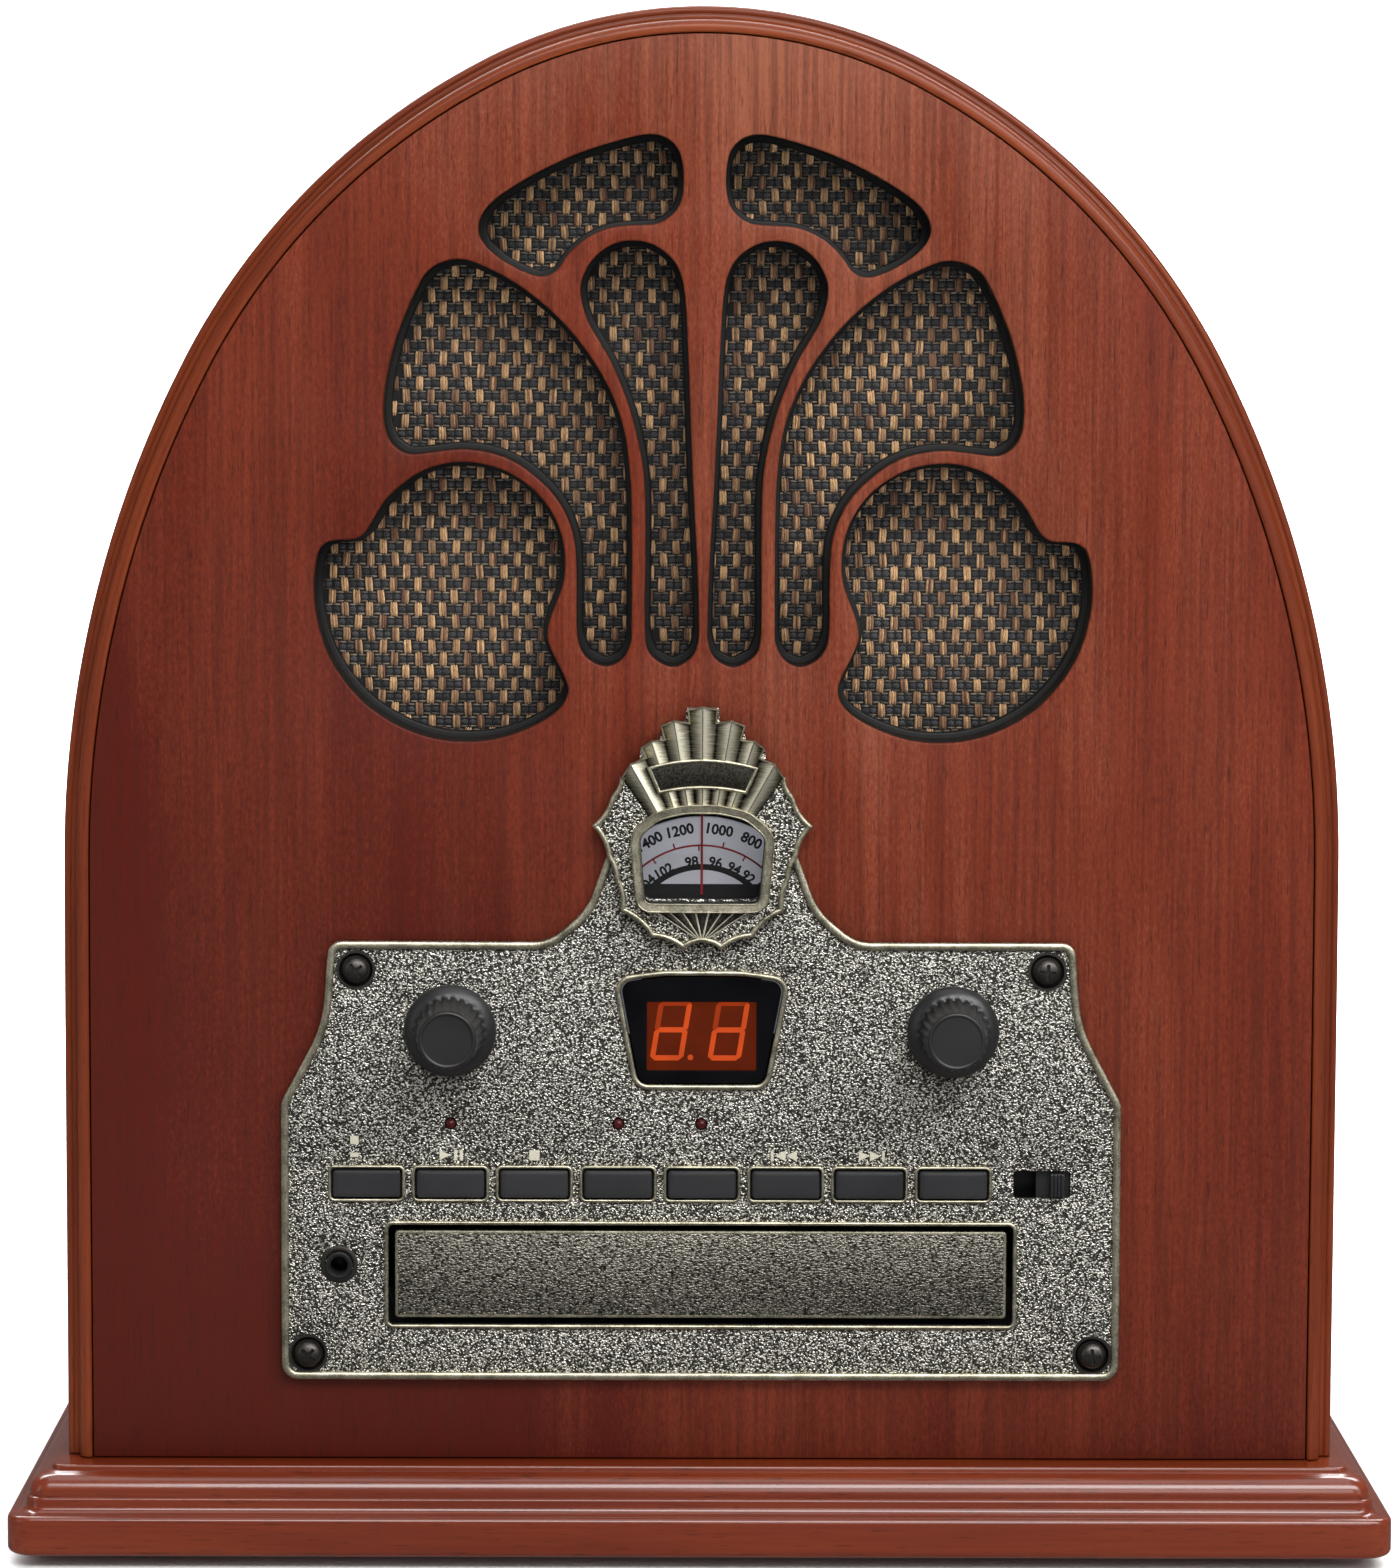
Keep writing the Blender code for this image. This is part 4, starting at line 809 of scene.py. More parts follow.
def build_rear(looks):
    loops = face_loops("rear_cover")
    front, back = corners_of("rear_cover")[0].y, corners_of("rear_cover")[1].y
    outline = refined(loops[0], 3.0)
    holes = []
    for loop in loops[1:]:
        xs, zs = [x for x, _ in loop], [z for _, z in loop]
        slot = max(xs) - min(xs) > 40.0
        holes.append(rounded_box(min(xs), max(xs), min(zs), max(zs), 1.5) if slot else refined(loop, 1.0))
    turned_about = [[(-x, z) for x, z in reversed(loop)] for loop in (outline, *holes)]
    cover = slab(turned_about[0], turned_about[1:], -back, -front, 0.6, 0.4)
    bank_x, bank_half, bank_heights = 38.0, 31.0, (171.0, 247.5)
    ribs = []
    for side in (-1, 1):
        frame_loop = rounded_box(side * bank_x - bank_half, side * bank_x + bank_half, *bank_heights, 4.0)
        ribs.append(swept(frame_loop, [(-0.9, -back + 0.3), (-0.9, -back - 0.35), (-0.5, -back - 0.6),
                                       (0.5, -back - 0.6), (0.9, -back - 0.35), (0.9, -back + 0.3)]))
    ribs.append(slab(rounded_box(-34.0, 34.0, 70.0, 112.0, 2.0), (), -back - 0.25, -back + 0.2, 0.1))
    standing_for("rear_cover", facing_back(joined([cover, *ribs])), looks["black"], "moulded_back")


def build_screws(looks):
    """Pan-head screws with a cross recess, on the control plate and on the back cover."""
    for group, facing in (("faceplate_screw", -1.0), ("rear_screw", 1.0)):
        for number in range(1, 5):
            node = f"{group}_{number}"
            low, high = corners_of(node)
            center = center_of(node)
            seat = (low.y + 1.5) if facing < 0 else (high.y - 1.5)
            end = high.y if facing < 0 else low.y
            depths = [(0.0, 1.5), (0.9, 1.46), (1.6, 1.3), (2.2, 1.0), (2.6, 0.55), (2.7, 0.2), (2.7, 0.0)]
            profile = [(radius, seat + facing * rise) for radius, rise in depths]
            profile += [(1.45, seat), (1.45, end + facing * 1.2), (0.0, end)]
            head = turned(profile, center, "Y", 32)
            top = seat + facing * 2.0
            cuts = []
            turn = math.radians(12.0 + 41.0 * number)
            for quarter in (0.0, math.pi / 2):
                cut = block((-1.75, -1.5, -0.36), (1.75, 1.5, 0.36))
                bmesh.ops.rotate(cut, verts=cut.verts, cent=(0, 0, 0),
                                 matrix=Matrix.Rotation(turn + quarter, 3, "Y"))
                bmesh.ops.translate(cut, verts=cut.verts, vec=(center[0], top, center[1]))
                cuts.append(cut)
            standing_for(node, combined(head, cuts, "DIFFERENCE"), looks["dark_steel"])


# -------------------------------------------------------------------------------------------- grille


def build_grille_board(looks):
    loops = face_loops("grille_board")
    low, high = corners_of("grille_board")
    holes = [refined(loop, 1.2) for loop in loops[1:]]
    solid = slab(refined(loops[0], 3.0), holes, low.y, high.y, 0.2, 0.5)
    standing_for("grille_board", solid, looks["paint"], "black_grille_board")


def yarn_strand(solid, shades, start, end, width, rise, depth, shade, steps=4):
    """One yarn over the weave: a half-round strip that climbs from the cloth and goes back into it."""
    along = Vector((end[0] - start[0], end[1] - start[1]))
    side = Vector((-along.y, along.x)).normalized() * width / 2
    rings = []
    for step in range(steps + 1):
        t = step / steps
        lift = rise * (1 - (2 * t - 1) ** 4) + 0.02
        narrow = 0.55 + 0.45 * math.sqrt(max(0.0, 1 - (2 * t - 1) ** 2))
        x, z = start[0] + along.x * t, start[1] + along.y * t
        ring = []
        for across, up in ((-1.0, 0.0), (-0.62, 0.75), (0.0, 1.0), (0.62, 0.75), (1.0, 0.0)):
            spot = (x + side.x * across * narrow, depth - lift * (0.35 + 0.65 * up),
                    z + side.y * across * narrow)
            vert = solid.verts.new(spot)
            vert[shades] = shade
            ring.append(vert)
        under = solid.verts.new((x, depth + 0.05, z))
        under[shades] = shade
        rings.append(ring + [under])
    for first, second in zip(rings, rings[1:]):
        skin(solid, first, second)
    solid.faces.new(rings[0])
    solid.faces.new(rings[-1])


def yarn_bead(solid, shades, center, size, rise, depth, shade):
    """A small rounded loop of yarn where it goes under its neighbour."""
    rings = []
    for share, up in ((1.0, 0.0), (0.86, 0.6), (0.5, 0.93)):
        ring = []
        for index in range(8):
            turn = 2 * math.pi * index / 8
            vert = solid.verts.new((
                center[0] + math.cos(turn) * size[0] / 2 * share, depth - rise * up,
                center[1] + math.sin(turn) * size[1] / 2 * share,
            ))
            vert[shades] = shade
            ring.append(vert)
        rings.append(ring)
    for first, second in zip(rings, rings[1:]):
        skin(solid, first, second)
    solid.faces.new(rings[0])
    solid.faces.new(rings[-1])


def build_cloth(looks):
    """Grille cloth: a flat ground, with floats of tan yarn over dark bundles and thin pale threads."""
    low, high = corners_of("grille_cloth")
    outline = refined(face_loops("grille_cloth")[0], 3.0)
    ground = standing_for("grille_cloth", slab(outline, (), low.y + 0.3, high.y, 0.05), looks["dark_yarn"],
                          "cloth_ground")
    chance = random.Random(7)
    pitch, row_height = 5.2, 2.67
    weave_left, weave_width, weave_foot, weave_top = -84.0, 170.0, 172.0, 304.0
    float_length, depth = 3.05, low.y + 0.32
    thread_half, thread_gap = 0.72, 0.95
    openings = [(offset(loop, 2.6), min(x for x, _ in loop) - 3, max(x for x, _ in loop) + 3)
                for loop in face_loops("grille_board")[1:]]
    yarns = {"tan": bmesh.new(), "dark": bmesh.new(), "pale": bmesh.new()}
    shades = {name: solid.verts.layers.float.new("shade") for name, solid in yarns.items()}

    def seen(x, z):
        return any(left < x < right and contains(loop, x, z) for loop, left, right in openings)

    rows = int((weave_top - weave_foot) / row_height)
    columns = int(weave_width / pitch)
    for row in range(rows):
        z = weave_foot + row * row_height
        for column in range(columns):
            x = weave_left + column * pitch + (pitch / 2 if row % 2 else 0.0) + 0.25 * math.sin(row * 0.9)
            if not seen(x, z):
                continue
            sway = chance.uniform(-0.12, 0.12)
            base_shade = chance.uniform(0.15, 0.85)
            for strand in range(3):
                across = (strand - 1) * 0.5
                start = (x + across + sway, z - float_length / 2 + chance.uniform(-0.12, 0.12))
                end = (x + across - sway, z + float_length / 2 + chance.uniform(-0.12, 0.12))
                shade = min(1.0, max(0.0, base_shade + chance.uniform(-0.45, 0.45)))
                rise = 0.8 - 0.22 * abs(strand - 1)
                yarn_strand(yarns["tan"], shades["tan"], start, end, 0.6, rise, depth, shade, 6)
            for across in (1.72, pitch - 1.72):
                size = (1.4 + chance.uniform(-0.1, 0.1), 1.25)
                spot = (x + across + chance.uniform(-0.06, 0.06), z)
                yarn_bead(yarns["dark"], shades["dark"], spot, size, 0.42, depth, chance.uniform(0.2, 1.0))
                for side in (-1, 1):
                    low_end = (spot[0] - thread_half, z + side * thread_gap + chance.uniform(-0.08, 0.08))
                    high_end = (spot[0] + thread_half, z + side * thread_gap + chance.uniform(-0.08, 0.08))
                    shade = chance.uniform(0.0, 1.0)
                    yarn_strand(yarns["pale"], shades["pale"], low_end, high_end, 0.4, 0.36, depth, shade, 3)
    pieces = [made(f"cloth_{name}_yarn", solid, looks[f"{name}_yarn"], "cabinet", sharp=60.0)
              for name, solid in yarns.items()]


def build_speakers(looks):
    for side in ("left", "right"):
        center = center_of(f"speaker_frame_{side}")
        front = corners_of(f"speaker_frame_{side}")[0].y
        basket = raised(front, (
            (0.0, 26.0), (17.0, 23.5), (34.2, 1.5), (34.2, 0.0), (36.5, 0.0), (38.2, 0.2), (38.5,
                                                                                            0.8), (38.5, 1.6),
            (36.0, 1.8), (30.0, 9.0), (19.0, 25.0), (24.0, 25.5), (24.0, 37.4), (23.4, 38.0), (0.0, 38.0),
        ))
        standing_for(f"speaker_frame_{side}", turned(basket, center, "Y", 64), looks["iron"])
        cone = raised(front, (
            (0.0, 13.8), (3.0, 14.1), (6.0, 15.2), (8.6, 18.2), (9.0, 19.0), (27.0, 4.0), (28.0, 2.6), (29.2,
                                                                                                        2.0),
            (30.4, 2.5), (31.2, 3.0), (32.0, 2.0), (33.4, 1.0), (33.4, 1.8), (31.0, 3.9), (29.2, 2.9), (27.4,
                                                                                                        4.9),
            (9.6, 21.0), (0.0, 21.0),
        ))
        standing_for(f"speaker_cone_{side}", turned(cone, center, "Y", 64), looks["paper"])


# ------------------------------------------------------------------------------------- control plate


def rim_bar(path, inner, outer, top, foot, closed=True):
    """A raised rounded rim along an outline, between two distances outwards from it."""
    middle, half = (inner + outer) / 2, (outer - inner) / 2
    rise = foot - top
    profile = [(inner, foot + 0.3)]
    for turn in range(0, 181, 20):
        lean = math.radians(turn)
        profile.append((middle - half * math.cos(lean), foot - rise * math.sin(lean) ** 0.6))
    profile.append((outer, foot + 0.3))
    return swept(path, profile, closed)


def rounded_like(loop, radius):
    xs, zs = [x for x, _ in loop], [z for _, z in loop]
    return rounded_box(min(xs), max(xs), min(zs), max(zs), radius)


def is_box(loop):
    xs, zs = [x for x, _ in loop], [z for _, z in loop]
    return abs(signed_area(loop) - (max(xs) - min(xs)) * (max(zs) - min(zs))) < 0.01


def build_faceplate(looks):
    plate_loop, drawer_loop, display_loop, *small_loops = face_loops("faceplate")
    outline = refined(plate_loop, 1.0)
    drawer = rounded_like(drawer_loop, 1.0)
    display = refined(display_loop, 0.8)
    holes, rims, dishes = [drawer, display], [], []
    screws = [middle_of(f"faceplate_screw_{number}") for number in range(1, 5)]
    jack = middle_of("headphone_jack")
    for loop in small_loops:
        x = sum(spot[0] for spot in loop) / len(loop)
        z = sum(spot[1] for spot in loop) / len(loop)
        if is_box(loop):
            hole = rounded_like(loop, 0.7)
            holes.append(hole)
            wide = max(spot[0] for spot in loop) - min(spot[0] for spot in loop)
            if wide > 13.0:
                rims.append(rim_bar(hole, 0.0, 0.72, PLATE_RIM + 0.1, PLATE_FIELD))
        elif any(math.dist((x, z), (screw.x, screw.z)) < 2.0 for screw in screws):
            holes.append(circle((x, z), 3.75, 40))
            dish = [(3.9, PLATE_FIELD - 0.05), (4.15, PLATE_FIELD - 0.2), (3.6, PLATE_FIELD - 0.2)]
            dish += [(3.3, PLATE_FIELD + 0.35), (2.9, PLATE_FIELD + 0.62), (1.8, PLATE_FIELD + 0.62)]
            dish += [(1.8, PLATE_BACK - 0.05), (3.9, PLATE_BACK - 0.05)]
            dishes.append(turned(dish, (x, z), "Y", 40, closed=True))
        else:
            holes.append(refined(loop, 0.4))
            if math.dist((x, z), (jack.x, jack.z)) < 2.0:
                dish = [(3.0, PLATE_FIELD + 0.1), (3.0, PLATE_FIELD - 0.25), (3.35, PLATE_FIELD - 0.35)]
                dish += [(3.9, PLATE_FIELD - 0.2), (4.1, PLATE_FIELD + 0.1)]
                dishes.append(turned(dish, (x, z), "Y", 40, closed=True))
    rims.append(rim_bar(outline, -1.7, 0.0, PLATE_RIM, PLATE_FIELD))
    rims.append(rim_bar(display, 0.0, 1.15, PLATE_RIM, PLATE_FIELD))
    rims.append(rim_bar(drawer, 0.0, 0.9, PLATE_RIM + 0.1, PLATE_FIELD))
    plate = slab(outline, holes, PLATE_FIELD, PLATE_BACK, 0.1, 0.08, hole_wall=1)
    standing_for("faceplate", plate, [looks["cast_field"], looks["paint"]], "cast_plate")
    made("plate_rims", joined(rims), looks["cast_rim"], "cabinet")
    made("plate_dishes", joined(dishes), looks["dark_steel"], "cabinet")
    build_symbols(looks)


def prism_of(outline, front, back):
    return slab(outline, (), front, back, 0.06, steps=1)


def build_symbols(looks):
    """Raised transport symbols over the keys: band dots, play and pause, stop, back and forward."""
    front, back = PLATE_FIELD - 0.22, PLATE_FIELD + 0.2
    high = 86.4
    solids = []

    def triangle(x, way, size=1.15):
        spots = [(x - way * size, high - size), (x + way * size, high), (x - way * size, high + size)]
        return prism_of(spots if way > 0 else spots[::-1], front, back)

    def bar(x, wide, size=1.15, z=high):
        return prism_of([(x - wide, z - size), (x + wide, z - size), (x + wide, z + size),
                         (x - wide, z + size)],
                        front, back)

    play = middle_of("button_2").x
    solids += [triangle(play - 1.2, 1), bar(play + 1.1, 0.35), bar(play + 2.3, 0.35)]
    solids.append(bar(middle_of("button_3").x, 1.1, 1.1))
    back_x, forward_x = middle_of("button_6").x, middle_of("button_7").x
    solids += [triangle(back_x - 1.2, -1), triangle(back_x + 1.2, -1), bar(back_x - 2.9, 0.3)]
    solids += [triangle(forward_x - 1.2, 1), triangle(forward_x + 1.2, 1), bar(forward_x + 2.9, 0.3)]
    band = middle_of("button_1").x - 2.6
    solids += [bar(band, 0.9, 0.9, high + 3.2), bar(band, 0.9, 0.5, high)]
    made("plate_symbols", joined(solids), looks["symbol"], "cabinet", sharp=20.0)


def polar(angle, radius):
    """A place at an angle from straight up, seen from the rays' common centre."""
    return (RAY_CENTER[0] + radius * math.sin(math.radians(angle)),
            RAY_CENTER[1] + radius * math.cos(math.radians(angle)))


RAY_CENTER = (0.0, 143.0)
# Each ray of the badge: its two edges' angles from straight up, and the reach of its inner corner, ridge and
# outer corner.
RAYS = ((-4.8, 4.8, 38.9, 39.3, 38.9), (4.8, 14.3, 36.1, 36.9, 36.4), (14.3, 23.2, 33.4, 33.9, 33.2),
        (23.2, 35.4, 31.0, 31.2, 29.7))


def ray_solid(ray):
    """One ray: two facets that meet in a ridge."""
    first, last, reach_first, reach_ridge, reach_last = ray
    middle = (first + last) / 2
    valley, crest, back = BADGE_FRONT + 2.1, BADGE_FRONT + 0.9, BADGE_BACK - 0.1
    inner = 18.3
    columns = ((first, reach_first, valley), (middle, reach_ridge, crest), (last, reach_last, valley))
    solid = bmesh.new()
    rings = []
    for angle, reach, depth in columns:
        (x0, z0), (x1, z1) = polar(angle, inner), polar(angle, reach - 0.35)
        x2, z2 = polar(angle, reach)
        spots = ((x0, back, z0), (x0, depth, z0), (x1, depth, z1), (x2, depth + 0.35, z2), (x2, back, z2))
        rings.append([solid.verts.new(spot) for spot in spots])
    for a, b in zip(rings, rings[1:]):
        skin(solid, a, b)
    solid.faces.new(rings[0])
    solid.faces.new(rings[-1])
    return solid


def crest_highlight_line(angle, reach):
    """A thin pale metal line along a ray's ridge, a painted highlight."""
    depth, half = BADGE_FRONT + 0.9, 0.14
    across = (math.cos(math.radians(angle)) * half, -math.sin(math.radians(angle)) * half)
    ends = []
    for x, z in (polar(angle, 18.3), polar(angle, reach)):
        ends.append([(x - across[0], depth + 0.1, z - across[1]), (x, depth - 0.12, z),
                     (x + across[0], depth + 0.1, z + across[1])])
    return loft(ends)


def arc_band(low_spot, low_peak, high_spot, high_peak, steps=10):
    """The outline of a plaque between two shallow arcs, from its right-hand corners and the arcs' peaks."""
    outline = []
    for (x, z), peak, sign in ((low_spot, low_peak, 1), (high_spot, high_peak, -1)):
        rise = peak - z
        radius = (x * x + rise * rise) / (2 * rise)
        half = math.degrees(math.asin(x / radius))
        start, end = (90.0 + half, 90.0 - half) if sign > 0 else (90.0 - half, 90.0 + half)
        outline += arc((0.0, peak - radius), radius, start, end, steps)
    return outline


def scalloped(loop, top):
    """The outline with its longer edges below a height bowed inwards."""
    outline = []
    for (x0, z0), (x1, z1) in zip(loop, loop[1:] + loop[:1]):
        reach = math.dist((x0, z0), (x1, z1))
        bow = 0.085 * reach if reach > 2.2 and max(z0, z1) < top else 0.0
        steps = max(1, int(reach / 0.6))
        for step in range(steps):
            t = step / steps
            sag = bow * 4 * t * (1 - t)
            outline.append((x0 + (x1 - x0) * t - (z1 - z0) / reach * sag,
                            z0 + (z1 - z0) * t + (x1 - x0) / reach * sag))
    return outline


def build_badge(looks):
    shield = scalloped(face_loops("dial_badge", BADGE_FRONT + 1.7)[0], 168.5)
    frame_loops = face_loops("dial_badge")
    outer, window = refined(frame_loops[0], 0.8), refined(frame_loops[1], 0.8)
    field = slab(shield, [offset(window, 0.9)], BADGE_FRONT + 2.1, BADGE_BACK, 0.15, hole_wall=1)
    standing_for("dial_badge", field, [looks["cast_field"], looks["paint"]], "badge_shield")
    rays = [ray_solid(ray) for ray in RAYS]
    for first, last, inner, ridge, outer_reach in RAYS[1:]:
        rays.append(ray_solid((-last, -first, outer_reach, ridge, inner)))
    made("badge_rays", joined(rays), looks["cast_brushed_painted_light"], "cabinet", sharp=4.0)
    # Pale lines along the ridges: painted highlights.
    crests = []
    for first, last, inner, ridge, outer_reach in RAYS:
        for side in (1,) if first < 0 else (-1, 1):
            crests.append(crest_highlight_line(side * (first + last) / 2, ridge - 0.4))
    made("badge_crest_painted_highlights", joined(crests), looks["cast_rim"], "cabinet")
    crown = []
    for first, last, inner, ridge, outer_reach in RAYS[::-1]:
        crown += [polar(last, outer_reach), polar((first + last) / 2, ridge), polar(first, inner)]
    crown = crown[:-1] + [(-x, z) for x, z in crown[:-2][::-1]]
    edge = rim_bar(crown, -0.42, 0.0, BADGE_FRONT + 0.7, BADGE_FRONT + 1.9, closed=False)

    start = max(range(len(shield)), key=lambda index: (shield[index][1] < 167.6 and shield[index][0] < 0,
                                                       shield[index][1]))
    path = shield[start:] + shield[:start]
    count = next(index for index, spot in enumerate(path) if index > 9 and spot[0] > 0 and spot[1] > 167.6)
    rim = rim_bar(path[:count], -1.15, 0.0, BADGE_FRONT + 1.35, BADGE_FRONT + 2.1, closed=False)

    frame_profile = [(0.0, BADGE_BACK - 0.4), (0.0, BADGE_FRONT + 0.5), (-0.1, BADGE_FRONT + 0.12),
                     (-0.24, BADGE_FRONT), (-0.4, BADGE_FRONT + 0.14), (-1.68, BADGE_FRONT + 0.24),
                     (-1.84, BADGE_FRONT + 0.1), (-1.98, BADGE_FRONT + 0.22), (-2.06, BADGE_FRONT + 0.6),
                     (-2.06, BADGE_BACK - 0.4)]
    dial_frame = swept(outer, frame_profile)

    low_spot, high_spot = (9.3, 163.8), (11.8, 169.5)
    plaque = arc_band(low_spot, 164.9, high_spot, 171.3)
    border = rim_bar(plaque, -0.75, 0.0, BADGE_FRONT + 0.35, BADGE_FRONT + 0.9)
    liner = [(-1.9, BADGE_FRONT + 0.85), (-2.14, BADGE_FRONT + 0.85), (-2.14, PLATE_BACK), (-1.9, PLATE_BACK)]
    made("badge_liner", swept(outer, liner), looks["paint"], "cabinet")
    made("badge_rims", joined([rim, dial_frame, border, edge]), looks["cast_rim"], "cabinet")
    made("badge_plaque", slab(plaque, (), BADGE_FRONT + 0.75, BADGE_BACK - 0.3, 0.05), looks["cast_dark"],
         "cabinet")
    build_lower_fan(looks)


def build_lower_fan(looks):
    """Seven narrow rays that run down from the dial's frame to the shield's lower point."""
    focus, top = (0.0, 132.9), 139.4
    back, valley = BADGE_BACK - 0.3, BADGE_FRONT + 1.75
    spots = []
    ribs = 7
    half = 10.6
    for index in range(ribs + 1):
        x = -half + 2 * half * index / ribs
        spots.append((x, valley))
        if index < ribs:
            spots.append((x + half / ribs, valley - 0.1))
    solid = bmesh.new()
    rings = []
    for x, depth in spots:
        low = (focus[0] + x * 0.07, focus[1])
        column = ((x, back, top), (x, depth, top), (low[0], depth, low[1]), (low[0], back, low[1]))
        rings.append([solid.verts.new(spot) for spot in column])
    for a, b in zip(rings, rings[1:]):
        skin(solid, a, b)
    solid.faces.new(rings[0])
    solid.faces.new(rings[-1])
    made("badge_fan", solid, looks["cast_dark"], "cabinet", sharp=5.0)
    lines = []
    for index in range(ribs + 1):
        x = -half + 2 * half * index / ribs
        low_x = focus[0] + x * 0.07
        wide = 0.27
        line = loft([
            [(x - wide, valley + 0.1, top), (x, valley - 0.34, top), (x + wide, valley + 0.1, top)],
            [(low_x - wide, valley + 0.1, focus[1]), (low_x, valley - 0.34, focus[1]),
             (low_x + wide, valley + 0.1, focus[1])],
        ])
        lines.append(line)
    made("badge_fan_lines", joined(lines), looks["symbol"], "cabinet")


def printed_text(word, size, center, turn, depth):
    """Digits as a thin raised print, turned about their own middle. They face -Y."""
    curve = bpy.data.curves.new("digits", "FONT")
    curve.body = word
    curve.size = size
    curve.align_x = "CENTER"
    curve.align_y = "CENTER"
    curve.extrude = 0.02
    curve.offset = 0.1
    curve.resolution_u = 3
    text = bpy.data.objects.new("digits", curve)
    bpy.context.scene.collection.objects.link(text)
    graph = bpy.context.evaluated_depsgraph_get()
    mesh = bpy.data.meshes.new_from_object(text.evaluated_get(graph))
    solid = bmesh.new()
    solid.from_mesh(mesh)
    bmesh.ops.remove_doubles(solid, verts=solid.verts, dist=0.0005)
    for vert in solid.verts:
        x, z, out = vert.co
        vert.co = Vector((x, -out, z))
    bmesh.ops.rotate(solid, verts=solid.verts, cent=(0, 0, 0), matrix=Matrix.Rotation(turn, 3, "Y"))
    bmesh.ops.translate(solid, verts=solid.verts, vec=(center[0], depth, center[1]))
    bpy.data.objects.remove(text)
    bpy.data.meshes.remove(mesh)
    bpy.data.curves.remove(curve)
    return solid


def ring_sector(center, inner, outer, start, end, front, back):
    """A flat band round a centre. Angles are from straight up, clockwise, in degrees."""
    steps = max(2, int(abs(end - start) / 3))
    outline = arc(center, outer, 90.0 - end, 90.0 - start, steps) + arc(center, inner, 90.0 - start,
                                                                        90.0 - end, steps)
    return prism_of(outline, front, back)


# The dial's two scales: the numbers, their angles from straight up, their distance from the centre and size.
DIAL_SCALES = (
    (("1600", "1400", "1200", "1000", "800", "650", "540"), (-47.0, -29.0, -11.9, 8.9, 27.0, 46.0, 64.0),
     23.3, 3.1),
    (("108", "104", "102", "98", "96", "94", "92", "90", "88"),
     (-62.0, -46.0, -30.0, -7.6, 10.3, 25.0, 37.5, 51.0, 65.0), 16.3, 2.9),
)


def build_dial(looks):
    """The disc behind the window, its two scales printed round it, and the fixed red pointer line."""
    low, high = corners_of("dial_disc")
    center = center_of("dial_disc")
    radius = (high.x - low.x) / 2
    profile = [(0.0, DIAL_FACE), (radius - 0.2, DIAL_FACE), (radius, DIAL_FACE + 0.2),
               (radius, DIAL_FACE + 0.8),
               (16.5, DIAL_FACE + 1.0), (15.0, -70.9), (15.0, -69.3), (16.5, -68.6), (16.5, -68.0), (3.0,
                                                                                                     -68.0),
               (3.0, high.y), (0.0, high.y)]
    standing_for("dial_disc", turned(profile, center, "Y", 96), looks["dial"], "printed_dial")
    ink_front, ink_back = DIAL_FACE - 0.05, DIAL_FACE + 0.1
    black = [ring_sector(center, 14.5, 15.8, -170.0, 170.0, ink_front, ink_back)]
    for words, angles, reach, size in DIAL_SCALES:
        for word, angle in zip(words, angles):
            turn = math.radians(angle)
            spot = (center[0] + reach * math.sin(turn), center[1] + reach * math.cos(turn))
            black.append(printed_text(word, size, spot, turn, ink_front + 0.03))
    made("dial_black_print", joined(black), looks["ink"], "dial")
    red = [ring_sector(center, 19.55, 20.0, -100.0, 100.0, ink_front, ink_back)]
    for index, angle in enumerate(range(-90, 91, 15)):
        inner, outer = (19.8, 21.0) if index % 2 else (18.6, 19.8)
        red.append(ring_sector(center, inner, outer, angle - 2.5, angle - 1.4, ink_front, ink_back))
    made("dial_red_print", joined(red), looks["red_ink"], "dial")

    lens_low, lens_high = corners_of("dial_lens")
    window = refined(face_loops("dial_lens")[0], 0.8)
    standing_for("dial_lens", slab(window, (), lens_low.y, lens_high.y, 0.1), looks["clear"], "dial_window")
    pointer = block((-0.24, DIAL_FACE - 0.8, lens_low.z - 1.0), (0.24, DIAL_FACE - 0.5, lens_high.z + 2.0))
    made("dial_pointer", pointer, looks["red_ink"], "cabinet")
    shade = block((-16.0, DIAL_FACE - 0.45, 134.0), (16.0, DIAL_FACE - 0.2, 142.9))
    made("dial_shade", shade, looks["ink"], "cabinet")


def build_display(looks):
    """A black bezel with a lit red window and two seven-segment digits."""
    low, high = corners_of("display_window")
    outline = refined(face_loops("display_window")[0], 0.8)
    opening = rounded_box(-11.6, 11.6, 104.6, 119.3, 0.15, 2)
    front = low.y
    bezel = slab(outline, [opening], front, high.y, 0.15, 0.05)
    standing_for("display_window", bezel, looks["bezel"], "display_bezel")
    module_low, module_high = corners_of("display_module")
    made("display_filter", slab(offset(opening, 0.3), (), high.y + 0.05, high.y + 0.35, 0.02, steps=1),
         looks["glow"], "cabinet")
    slant = 0.16
    solids, faint = [], []
    top, middle, bottom, wide = 118.9, 113.2, 107.2, 3.0
    for x in (-6.45, 5.8):
        bars = (
            (-1, middle, top), (1, middle, top), (-1, bottom, middle), (1, bottom, middle),
        )
        for side, z0, z1 in bars:
            bar = segment((x + side * wide, z0 + 0.35), (x + side * wide, z1 - 0.35), slant, middle)
            (faint if z1 == top and side < 0 else solids).append(bar)
        for z in (middle, bottom):
            solids.append(segment((x - wide + 0.45, z), (x + wide - 0.45, z), slant, middle))
        faint.append(segment((x - wide + 0.45, top), (x + wide - 0.45, top), slant, middle))
    solids.append(prism_of(circle((-2.35, bottom + 0.1), 0.62, 16), high.y - 0.1, high.y + 0.2))
    made("display_segments", joined(solids), looks["segment"], "cabinet")
    made("display_faint_segments", joined(faint), looks["faint"], "cabinet")
    module = block(tuple(module_low), tuple(module_high), 0.3)
    standing_for("display_module", module, looks["paint"], "display_case")


